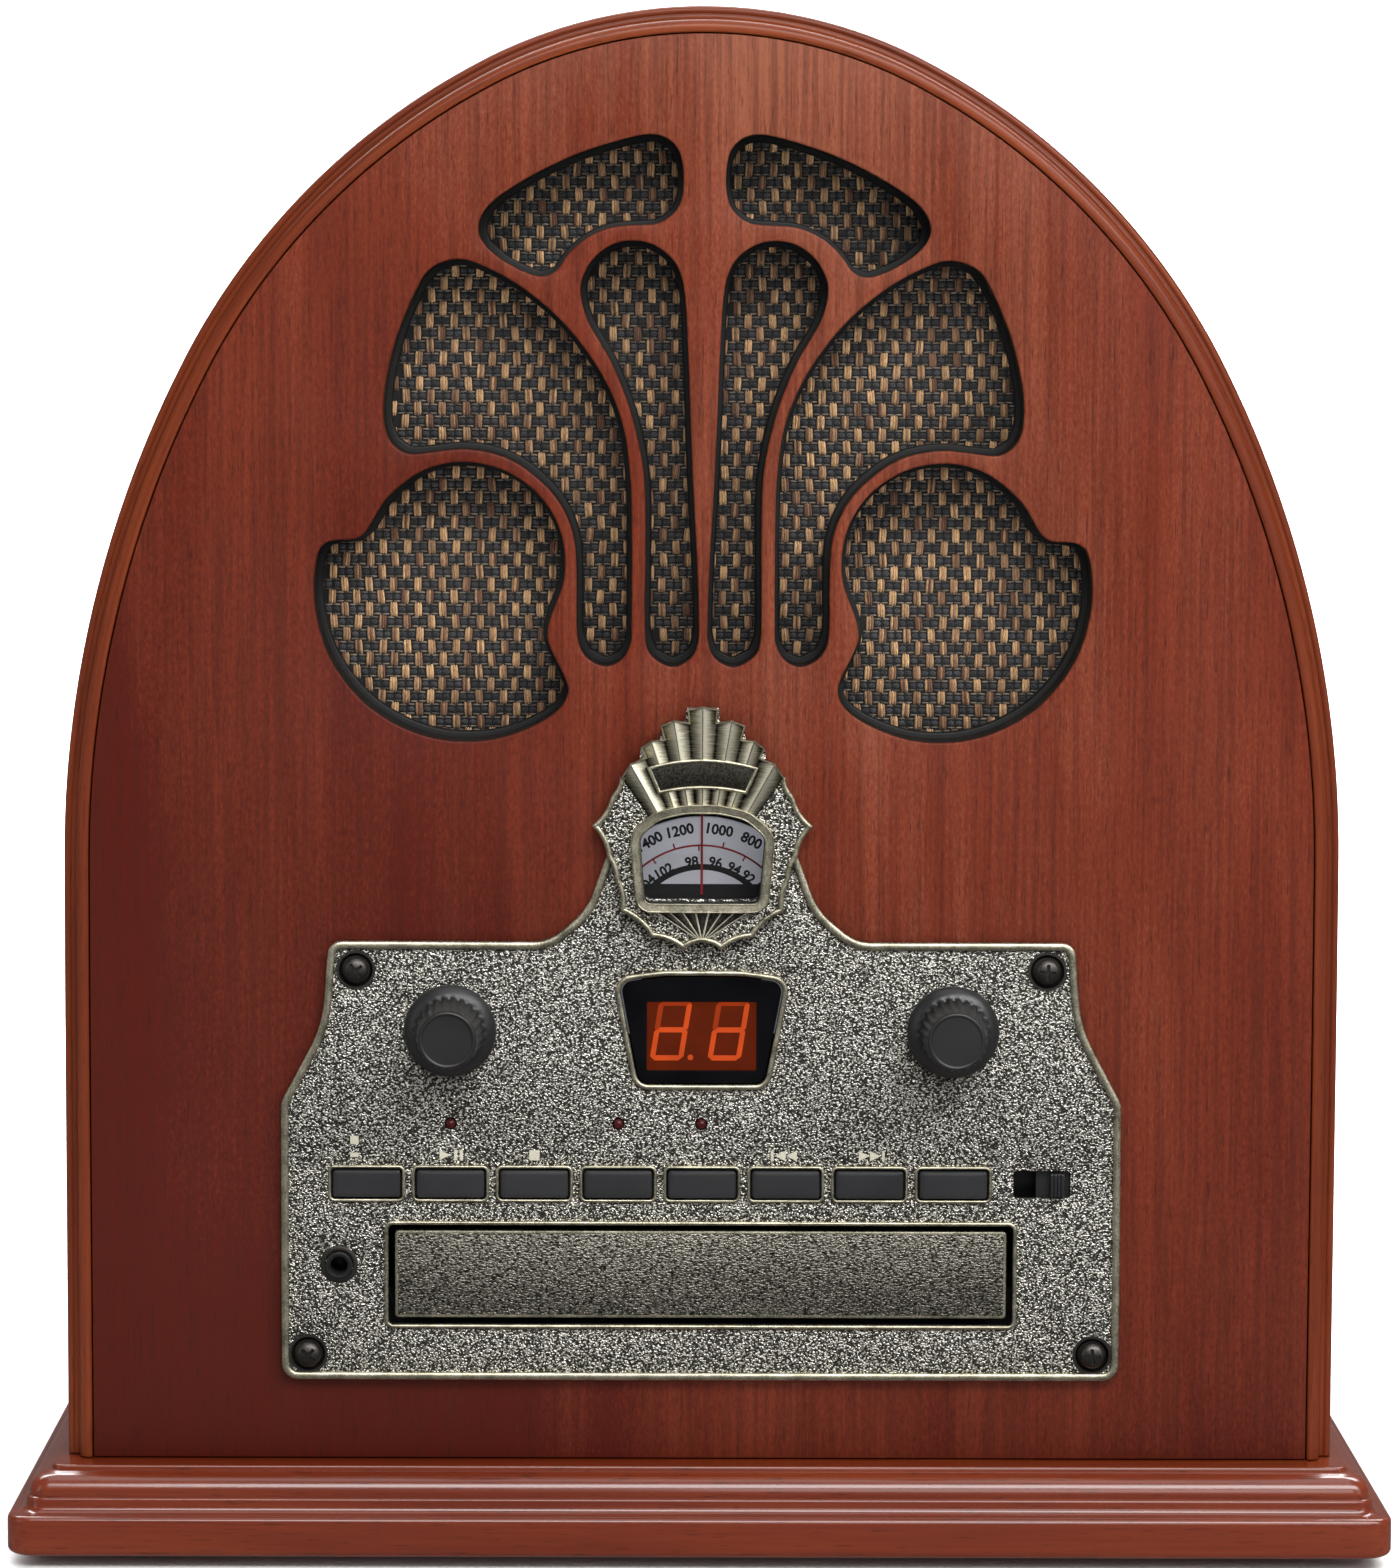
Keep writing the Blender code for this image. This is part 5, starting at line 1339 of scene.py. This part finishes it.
def segment(start, end, slant, middle):
    """One bar of a digit, with pointed ends, leaning by the slant."""
    half = 0.55
    (x0, z0), (x1, z1) = start, end
    if abs(x1 - x0) < 0.01:
        spots = [(x0, z0 - half), (x0 + half, z0), (x0 + half, z1), (x0, z1 + half), (x0 - half, z1),
                 (x0 - half, z0)]
    else:
        spots = [(x0 - half, z0), (x0, z0 - half), (x1, z0 - half), (x1 + half, z0), (x1, z0 + half),
                 (x0, z0 + half)]
    spots = [(x + (z - middle) * slant, z) for x, z in spots]
    depth = corners_of("display_window")[1].y
    return prism_of(spots, depth - 0.1, depth + 0.2)


def knob_of(node, looks):
    """A fluted knob on a sloping skirt, with a raised ring round its cap."""
    low, high = corners_of(node)
    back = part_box("dial_badge")[1].y / MM
    front = low.y
    x, z = center_of(node)
    flutes, segments = 24, 144
    rings = [
        (0.0, front + 0.32, 0.0), (5.15, front + 0.32, 0.0), (5.35, front + 0.08, 0.0), (5.6, front, 0.0),
        (5.85, front + 0.06, 0.0), (6.05, front + 0.35, 0.0), (6.2, front + 0.9, 0.05), (6.45, front + 2.0,
                                                                                         0.25),
        (6.9, front + 6.5, 0.42), (7.4, back - 3.6, 0.6), (7.6, back - 3.0, 0.6), (7.75, back - 2.75, 0.0),
        (8.2, back - 2.55, 0.0), (9.2, back - 1.7, 0.0), (9.65, back - 1.1, 0.0), (9.8, back - 0.6, 0.0),
        (9.75, back, 0.0),
    ]
    if node == "volume_knob":
        rings += [(3.0, back, 0.0), (3.0, high.y, 0.0), (0.0, high.y, 0.0)]
    else:
        bore = 3.3
        rings += [(bore, back, 0.0), (bore, back - 9.0, 0.0), (0.0, back - 9.0, 0.0)]
    solid = bmesh.new()
    loops = []
    for radius, y, depth in rings:
        if radius == 0.0:
            loops.append([solid.verts.new((x, y, z))])
            continue
        ring = []
        for index in range(segments):
            turn = 2 * math.pi * index / segments
            out = radius - depth * (0.5 + 0.5 * math.cos(flutes * turn)) ** 0.7
            ring.append(solid.verts.new((x + out * math.cos(turn), y, z + out * math.sin(turn))))
        loops.append(ring)
    skin_around(solid, loops, segments)
    standing_for(node, solid, looks["black"], sharp=50.0)


def build_knobs(looks):
    knob_of("volume_knob", looks)
    knob_of("tuning_knob", looks)


def build_keys(looks):
    """Eight press keys with softly rounded faces. Each keeps its flange and its plunger."""
    for number in range(1, 9):
        node = f"button_{number}"
        low, high = corners_of(node)
        x, z = center_of(node)
        half_x, half_z = 7.2, 2.95
        flange = PLATE_BACK + 0.3
        sections = []
        for inset, y, radius in ((1.3, low.y, 0.5), (0.75, low.y + 0.04, 0.55), (0.35, low.y + 0.16, 0.6),
                                 (0.1, low.y + 0.4, 0.65), (0.0, low.y + 0.75, 0.65), (0.0, flange, 0.65),
                                 (-0.9, flange, 0.3), (-0.9, flange + 1.0, 0.3)):
            outline = rounded_box(x - half_x + inset, x + half_x - inset, z - half_z + inset * 0.8,
                                  z + half_z - inset * 0.8, radius, 4)
            sections.append([(a, y, b) for a, b in outline])
        cap = loft(sections)
        plunger = block((x - 1.6, flange + 0.9, z - 1.6), (x + 1.6, high.y, z + 1.6))
        standing_for(node, joined([cap, plunger]), looks["key"], sharp=25.0)


def build_switch(looks):
    low, high = corners_of("function_slider")
    x = 75.7
    flange = PLATE_BACK + 0.3
    parts = [block((low.x, flange, low.z), (high.x, flange + 1.2, high.z)),
             block((x - 1.5, flange + 1.0, low.z + 1.8), (x + 1.5, high.y, high.z - 1.8))]
    ridges = 4
    for index in range(ridges):
        left = x - 1.5 + index * 3.0 / ridges
        parts.append(slab(rounded_box(left, left + 0.62, low.z + 0.8, high.z - 0.8, 0.15, 2), (),
                          low.y - 0.05, low.y + 0.9, 0.2))
    parts.append(block((x - 1.5, low.y + 0.45, low.z + 0.8), (x + 1.5, flange + 0.5, high.z - 0.8), 0.15))
    standing_for("function_slider", joined(parts), looks["black"])


def build_leds(looks):
    for number in range(1, 4):
        node = f"indicator_led_{number}"
        low, high = corners_of(node)
        radius, rise = 1.05, 1.0
        profile = [(0.0, low.y)]
        for turn in map(math.radians, (20, 40, 60, 75, 90)):
            profile.append((radius * math.sin(turn), low.y + rise - rise * math.cos(turn)))
        profile += [(radius, high.y), (0.0, high.y)]
        standing_for(node, turned(profile, center_of(node), "Y", 24), looks["led"])


def build_jack(looks):
    low, high = corners_of("headphone_jack")
    front = low.y
    profile = [(0.0, high.y - 2.5), (1.75, high.y - 2.5), (1.75, front + 0.7), (1.95, front + 0.3),
               (2.15, front + 0.3),
               (2.25, front + 0.05), (2.45, front), (2.8, front + 0.1), (2.9, front + 0.35), (2.9,
                                                                                              front + 0.6),
               (2.55, front + 0.6), (2.55, high.y), (0.0, high.y)]
    standing_for("headphone_jack", turned(profile, center_of("headphone_jack"), "Y", 40), looks["black"])


# ------------------------------------------------------------------------------------- disc drawer

WELL_CENTER = (0.0, -20.0)
WELL_RADIUS = 60.5
SMALL_DISC_RADIUS = 41.0
WELL_FLOOR = 56.6


def laid(solid):
    """A solid built facing -Y, turned to face up: its depths become heights with the sign changed."""
    for vert in solid.verts:
        vert.co = Vector((vert.co.x, vert.co.z, -vert.co.y))
    return solid


def deck(outline, holes, bottom, top, edge=0.3, hole_edge=None):
    """A level plate. Its outline is a list of (x, y)."""
    return laid(slab(outline, holes, -top, -bottom, edge, hole_edge))


def well(radius, floor, top, edge=0.5):
    """What a round well takes away, with a rounded foot and a flared mouth."""
    profile = [(0.0, floor), (radius - edge, floor), (radius - edge * 0.3, floor + edge * 0.3),
               (radius, floor + edge)]
    profile += [(radius, top - edge), (radius + edge * 0.3, top - edge * 0.3),
                (radius + edge * 1.3, top + 0.02)]
    return turned(profile + [(radius + edge * 1.3, top + 2.0), (0.0, top + 2.0)], WELL_CENTER, "Z", 128)


def build_tray(looks):
    low, high = corners_of("cd_tray")
    top, bottom = high.z, 55.0
    slot_half, slot_front = 18.0, WELL_CENTER[1] - 18.0
    outline = [(low.x, low.y), (high.x, low.y)]
    outline += [(high.x - 3.0, high.y), (slot_half, high.y)]
    outline += arc((slot_half - 4.0, slot_front + 4.0), 4.0, 0.0, -90.0, 6)
    outline += arc((-slot_half + 4.0, slot_front + 4.0), 4.0, -90.0, -180.0, 6)
    outline += [(-slot_half, high.y), (low.x + 3.0, high.y)]
    outline = [spot for index, spot in enumerate(outline) if spot != outline[index - 1]]
    plate = deck(outline, (), bottom, top, 0.4)
    cuts = [well(WELL_RADIUS, WELL_FLOOR, top), well(SMALL_DISC_RADIUS, WELL_FLOOR - 0.8, WELL_FLOOR, 0.3)]
    notch = rounded_box(-30.0, 30.0, WELL_CENTER[1] + 40.0, high.y + 9.0, 5.0)
    cuts.append(deck(notch, (), WELL_FLOOR, top + 2.0))
    for side in (-1, 1):
        finger = rounded_box(side * 51.0 - 4.0, side * 51.0 + 4.0, 18.0, 54.0, 3.9)
        cuts.append(deck(finger, (), WELL_FLOOR + 1.5, top + 2.0))
    body = combined(plate, cuts, "DIFFERENCE")
    rack = rack_strip(low.z, bottom + 0.2)
    standing_for("cd_tray", joined([body, rack]), looks["mechanism"])


def rack_strip(low, high):
    """The toothed strip under the tray that the small gear drives."""
    node = NODES["cd_tray"].data
    spots = {(round(vert.co.x / MM, 3), round(vert.co.y / MM, 3))
             for vert in node.vertices if abs(vert.co.z / MM - low) < 0.02}
    edge = min(x for x, _ in spots)
    toothed = sorted((spot for spot in spots if spot[0] > edge + 0.5), key=lambda spot: spot[1])
    ends = sorted((spot for spot in spots if spot[0] <= edge + 0.5), key=lambda spot: spot[1])
    outline = toothed + [ends[-1], ends[0]]
    return deck(outline, (), low, high, 0.1)


def build_tray_front(looks):
    """The drawer's metal face, with softly rounded edges polished bright."""
    low, high = corners_of("tray_front")
    outline = rounded_box(low.x, high.x, low.z, high.z, 0.8, 4)
    face = slab(outline, (), low.y, high.y, 0.45, steps=4)
    standing_for("tray_front", face, looks["drawer"], "drawer_face")
    edge = [(-0.05, low.y + 0.5), (0.02, low.y + 0.28), (-0.12, low.y + 0.06), (-0.45, low.y - 0.03),
            (-0.75, low.y + 0.02), (-0.75, low.y + 0.2)]
    made("drawer_face_edge", swept(outline, edge), looks["cast_rim"], BODY_OF["tray_front"])


# ------------------------------------------------------------------------------------------- inside


def dress(node, look):
    """A CAD node whose shape is right as it is gets its look."""
    mesh = NODES[node].data
    for index in range(max(1, len(mesh.materials))):
        if index < len(mesh.materials):
            mesh.materials[index] = look
        else:
            mesh.materials.append(look)


def build_tuner(looks):
    low, high = corners_of("tuning_capacitor")
    arm, thick = high.x, 2.0
    back = corners_of("dial_disc")[1].y + 1.8
    outline = [(-arm, -low.y), (-arm, -back), (arm, -back), (arm, -low.y), (arm - thick, -low.y)]
    outline += [(arm - thick, -back + 1.5), (-arm + thick, -back + 1.5), (-arm + thick, -low.y)]
    bracket = laid(slab([(x, -y) for x, y in outline][::-1], (), -high.z, -(high.z - 16.0), 0.2))
    parts = [bracket]
    parts.append(slab(rounded_box(-11.0, 11.0, 122.0, 143.0, 1.5), (), back - 0.5, high.y - 4.0, 0.3))
    plates = 9
    for index in range(plates):
        y = back + 3.0 + index * 1.45
        parts.append(slab(arc((0.0, 132.5), 9.6, 200.0, 340.0, 18), (), y, y + 0.5, 0.05, steps=1))
    parts.append(slab(rounded_box(-10.0, 10.0, 123.0, 142.0, 1.0), (), high.y - 4.5, high.y, 0.4))
    standing_for("tuning_capacitor", joined(parts), looks["steel"])


def build_hidden_controls(looks):
    """The pot, the tuning spindle, the display's case and the control board's switches."""
    low, high = corners_of("volume_pot")
    center = center_of("volume_pot")
    radius = (high.x - low.x) / 2
    pot = [(3.5, low.y), (6.0, low.y), (6.0, low.y + 1.2), (radius - 0.4, low.y + 1.2), (radius, low.y + 1.6)]
    pot += [(radius, high.y - 3.0), (radius - 0.35, high.y - 2.8), (radius - 0.35, high.y - 2.4),
            (radius, high.y - 2.2), (radius, high.y - 0.4), (radius - 0.4, high.y), (3.5, high.y)]
    parts = [turned(pot, center, "Y", 40, closed=True)]
    for index in (-1, 0, 1):
        x = center[0] + index * 5.0
        parts.append(block((x - 0.9, high.y - 2.4, low.z - 3.4), (x + 0.9, high.y - 2.0, low.z + 0.7), 0.1))
    standing_for("volume_pot", joined(parts), looks["steel"])

    board_low, board_high = corners_of("control_board")
    front = board_high.y - 1.6
    parts = [slab(rounded_box(board_low.x, board_high.x, board_low.z, board_high.z, 1.5),
                  [circle((side * 76.0, 97.5), 1.6, 16) for side in (-1, 1)], front, board_high.y, 0.1)]
    key_z = middle_of("button_2").z
    for number in range(1, 9):
        x = middle_of(f"button_{number}").x
        parts.append(block((x - 3.0, front - 2.3, key_z - 3.0), (x + 3.0, front + 0.3, key_z + 3.0), 0.25))
        stem = raised(front, ((0.0, -3.4), (1.5, -3.4), (1.7, -3.2), (1.7, -2.2), (0.0, -2.2)))
        parts.append(turned(stem, (x, key_z), "Y", 20))
        for corner in (-1, 1):
            parts.append(block((x - 3.4, front - 0.3, key_z + corner * 2.2 - 0.35),
                               (x + 3.4, front + 0.2, key_z + corner * 2.2 + 0.35)))
    housing = slab(rounded_box(64.0, 80.0, key_z - 4.0, key_z + 4.0, 0.6), (), board_low.y, front - 0.02, 0.3)
    made("switch_housing", housing, looks["black"], "cabinet")
    for index in range(6):
        x = -70.0 + index * 22.0
        parts.append(block((x, front - 0.8, 98.0), (x + 3.2, front + 0.2, 99.6), 0.15))
        parts.append(block((x + 6.0, front - 0.6, 95.0), (x + 7.6, front + 0.2, 98.0), 0.1))
    standing_for("control_board", joined(parts), looks["circuit"])
    dress("tuning_spindle", looks["steel"])
    dress("dial_cord", looks["cord"])


def build_mechanism(looks):
    """The disc chassis with its ribs, the traverse deck, the platter, the pickup and the clamp."""
    low, high = corners_of("cd_chassis")
    dress("cd_chassis", looks["mechanism"])
    ribs = []
    for side in (-1, 1):
        for index in range(6):
            y = -55.0 + index * 22.0
            x = side * (high.x - 0.1)
            near, far = sorted((x, x + side * 1.6))
            ribs.append(block((near, y, low.z + 4.0), (far, y + 1.6, 48.0), 0.2))
    made("chassis_ribs", joined(ribs), looks["mechanism"], "cabinet")
    center = WELL_CENTER
    dress("cd_traverse", looks["steel"])
    dress("tray_gear", looks["white"])
    base = corners_of("turntable")[0].z
    platter = [(0.0, base), (2.2, base), (2.2, 56.8), (14.6, 57.0), (15.0, 57.3), (15.0, 58.1), (14.7, 58.4)]
    platter += [(13.6, 58.4), (13.4, 58.25), (12.0, 58.25), (11.8, 58.4), (8.6, 58.4), (8.4, 58.1),
                (7.4, 58.1)]
    platter += [(7.35, 59.3), (7.1, 59.8), (5.6, 60.7), (5.0, 60.9), (2.2, 60.9), (2.0, 60.3), (0.0, 60.3)]
    standing_for("turntable", turned(platter, center, "Z", 72), looks["mechanism"])
    clamp_low = corners_of("disc_clamp")[0]
    disc = [(0.0, clamp_low.z), (10.6, clamp_low.z), (11.1, clamp_low.z + 0.3), (11.4, clamp_low.z + 0.9)]
    disc += [(11.4, 66.3), (14.1, 66.3), (14.5, 66.7), (14.5, 67.7), (14.1, 68.0), (12.4, 68.1), (12.2, 67.8)]
    disc += [(8.2, 67.8), (8.0, 68.2), (6.0, 68.6), (2.2, 68.6), (2.0, 68.0), (0.0, 68.0)]
    standing_for("disc_clamp", turned(disc, center, "Z", 72), looks["white"])
    pickup_low, pickup_high = corners_of("laser_pickup")
    parts = [deck(rounded_box(-16.0, 16.0, pickup_low.y, pickup_high.y, 1.2), (), pickup_low.z, 45.2, 0.3)]
    parts.append(deck(rounded_box(-14.0, 14.0, 0.0, 12.0, 1.0), (), 44.4, 49.6, 0.4))
    parts.append(deck(rounded_box(-7.0, 7.0, 0.6, 11.4, 1.2), (), 49.0, 51.0, 0.4))
    lens = [(0.0, 50.5), (3.6, 50.5), (3.6, 52.0), (3.2, 52.4), (2.6, 52.4), (2.3, 51.9), (1.4, 52.25),
            (0.0, 52.35)]
    parts.append(turned(lens, (0.0, 5.0), "Z", 40))
    standing_for("laser_pickup", joined(parts), looks["mechanism"])


def build_power(looks):
    """The transformer, the main board with its parts, and the mains inlet."""
    low, high = corners_of("transformer")
    parts = []
    sheets = 14
    for index in range(sheets):
        y = 34.0 + index * 2.0
        inset = 0.3 * (index % 2)
        sheet = rounded_box(low.x + inset, high.x - inset, low.z + 0.2, high.z - 0.4, 0.4, 2)
        parts.append(slab(sheet, (), y, y + 1.85, 0.08, steps=1))
    parts.append(deck(rounded_box(-106.0, -86.0, low.y, high.y, 5.0), (), low.z + 7.0, low.z + 26.0, 1.2))
    bolt = [(0.0, 33.0), (1.9, 33.0), (2.0, 33.4), (2.0, 62.6), (1.9, 63.0), (0.0, 63.0)]
    for x in (low.x + 3.0, high.x - 3.0):
        for z in (low.z + 3.0, high.z - 3.0):
            parts.append(turned(bolt, (x, z), "Y", 6))
    standing_for("transformer", joined(parts), looks["iron"])
    low, high = corners_of("main_board")
    floor = low.z
    parts = [deck(rounded_box(low.x, high.x, low.y, high.y, 1.5), (), floor + 9.0, floor + 10.6, 0.1)]
    for x in (80.0, 117.0):
        for y in (-46.0, 58.0):
            post = raised(floor, ((0.0, 0.0), (2.5, 0.0), (2.5, 9.2), (1.4, 9.2), (1.4, 11.2), (2.4, 11.2),
                                  (2.2, 12.2), (0.0, 12.4)))
            parts.append(turned(post, (x, y), "Z", 24))
    fins = 9
    parts.append(block((80.0, 21.0, floor + 10.0), (117.0, 23.0, floor + 38.0), 0.2))
    for index in range(fins):
        x = 80.0 + index * 37.0 / (fins - 1)
        parts.append(block((x - 0.5, 20.0, floor + 11.0), (x + 0.5, 24.0, floor + 38.0), 0.2))
    parts.append(deck(rounded_box(84.0, 100.0, -30.0, -14.0, 0.4), (), floor + 10.3, floor + 13.6, 0.3))
    for index in range(10):
        y = -29.0 + index * 1.55
        for side in (83.0, 100.0):
            parts.append(block((side, y, floor + 10.5), (side + 1.0, y + 0.7, floor + 12.0)))
    can = raised(floor, (
        (0.0, 10.3), (6.8, 10.3), (7.0, 10.8), (7.0, 12.4), (6.7, 12.8), (7.0, 13.2), (7.0, 33.4), (6.6,
                                                                                                    34.0),
        (5.6, 34.0), (5.5, 33.7), (0.0, 33.7),
    ))
    parts.append(turned(can, (108.0, 42.0), "Z", 40))
    standing_for("main_board", joined(parts), looks["circuit"])
    build_inlet(looks)


def build_inlet(looks):
    """A recessed two-pin mains inlet, its socket a round-ended slot."""
    low, high = corners_of("mains_inlet")
    x, z = center_of("mains_inlet")
    face = high.y
    mouth = rounded_box(-x - 7.4, -x + 7.4, z - 4.2, z + 4.2, 4.15, 8)
    flange = slab(rounded_box(-high.x, -low.x, low.z, high.z, 2.0), [mouth], -face, -face + 1.8, 0.5, 0.4)
    shell = slab(rounded_box(-x - 9.5, -x + 9.5, z - 6.5, z + 6.5, 2.0), [mouth], -face + 1.5, -low.y - 5.0,
                 0.1)
    back = slab(rounded_box(-x - 9.5, -x + 9.5, z - 6.5, z + 6.5, 2.0), (), -low.y - 5.2, -low.y, 0.1)
    standing_for("mains_inlet", facing_back(joined([flange, shell, back])), looks["black"])
    pins = []
    for side in (-1, 1):
        pin = [(0.0, 84.5), (1.2, 84.5), (1.2, 96.2), (0.9, 96.9), (0.0, 97.0)]
        pins.append(turned(pin, (x + side * 4.3, z), "Y", 24))
    made("inlet_pins", joined(pins), looks["steel"], "cabinet")


# --------------------------------------------------------------------------------------------- scene


def build_stage():
    """A pale floor that curves up into a white backdrop, well behind the radio."""
    graph = Graph("studio_floor", 0.75, Specular_IOR_Level=0.2)
    cloud = graph.noise(graph.place((3.0, 3.0, 3.0)), 1.0, 2.0, 0.5)
    look = graph.color(graph.mix(graph.fit(cloud, 0.3, 0.7, 0.0, 1.0), (0.86, 0.86, 0.86),
                                 (0.90, 0.90, 0.90)))
    solid = bmesh.new()
    profile = [(-2.5, 0.0), (1.2, 0.0)]
    profile += [(1.2 + 0.8 * math.sin(math.radians(turn)), 0.8 - 0.8 * math.cos(math.radians(turn)))
                for turn in range(6, 91, 6)]
    profile += [(2.0, 4.0)]
    rows = [[solid.verts.new((x, y, z)) for x in (-4.0, 4.0)] for y, z in profile]
    for first, second in zip(rows, rows[1:]):
        solid.faces.new((first[0], first[1], second[1], second[0]))
    mesh = bpy.data.meshes.new("studio")
    solid.to_mesh(mesh)
    solid.free()
    mesh.shade_smooth()
    floor = bpy.data.objects.new("studio", mesh)
    floor.data.materials.append(look)
    floor.visible_glossy = False
    bpy.context.scene.collection.objects.link(floor)


def soft_light(name, place, target, size, power):
    """A rectangular area light, aimed at a point. Sizes are in metres."""
    lamp = bpy.data.lights.new(name, "AREA")
    lamp.shape = "RECTANGLE"
    lamp.size, lamp.size_y = size
    lamp.energy = power
    light = bpy.data.objects.new(name, lamp)
    light.location = place
    light.rotation_euler = (Vector(target) - Vector(place)).to_track_quat("-Z", "Y").to_euler()
    bpy.context.scene.collection.objects.link(light)
    return light


def build_lights():
    middle = (0.0, 0.0, 0.16)
    soft_light("key", (0.38, -0.98, 1.1), middle, (1.8, 0.5), 26.5)
    soft_light("front", (0.35, -1.5, 0.62), middle, (0.7, 0.5), 3.2)
    soft_light("left_strip", (-1.3, -0.75, 0.5), middle, (0.4, 0.9), 1.2)
    soft_light("right_strip", (1.2, -0.85, 0.6), middle, (0.5, 0.9), 2.0)
    soft_light("top", (0.0, -0.1, 1.4), middle, (1.2, 0.8), 4.5)
    for side in (-1, 1):
        rear = soft_light("rear", (side * 0.9, 1.1, 0.8), middle, (0.8, 0.8), 10.0)
        rear.visible_glossy = False
    soft_light("backdrop", (0.0, 1.0, 1.6), (0.0, 1.9, 0.3), (2.5, 0.8), 110.0)
    world = bpy.data.worlds.new("studio")
    world.use_nodes = True
    world.node_tree.nodes["Background"].inputs["Color"].default_value = (1.0, 1.0, 1.0, 1.0)
    world.node_tree.nodes["Background"].inputs["Strength"].default_value = 0.15
    scene = bpy.context.scene
    scene.world = world
    scene.view_settings.view_transform = "Standard"


def build_camera():
    lens = bpy.data.cameras.new("camera")
    lens.lens = CAMERA_LENS
    lens.sensor_width = CAMERA_SENSOR
    lens.clip_start, lens.clip_end = 0.05, 20.0
    camera = bpy.data.objects.new("camera", lens)
    forward = CAMERA_RIGHT.cross(-CAMERA_DOWN) * -1.0
    turn = Matrix((CAMERA_RIGHT, -CAMERA_DOWN, -forward)).transposed()
    camera.matrix_world = Matrix.Translation(CAMERA_PLACE) @ turn.to_4x4()
    bpy.context.scene.collection.objects.link(camera)
    bpy.context.scene.camera = camera


def build():
    looks = make_looks()
    build_camera()
    build_stage()
    build_lights()
    for build_piece in (
        build_panel, build_moulding, build_shell, build_base, build_feet, build_rear, build_screws,
        build_grille_board, build_cloth, build_speakers, build_faceplate, build_badge, build_dial,
        build_display, build_knobs, build_keys, build_switch, build_leds, build_jack, build_tray,
        build_tray_front, build_tuner, build_hidden_controls, build_mechanism, build_power,
    ):
        build_piece(looks)


build()
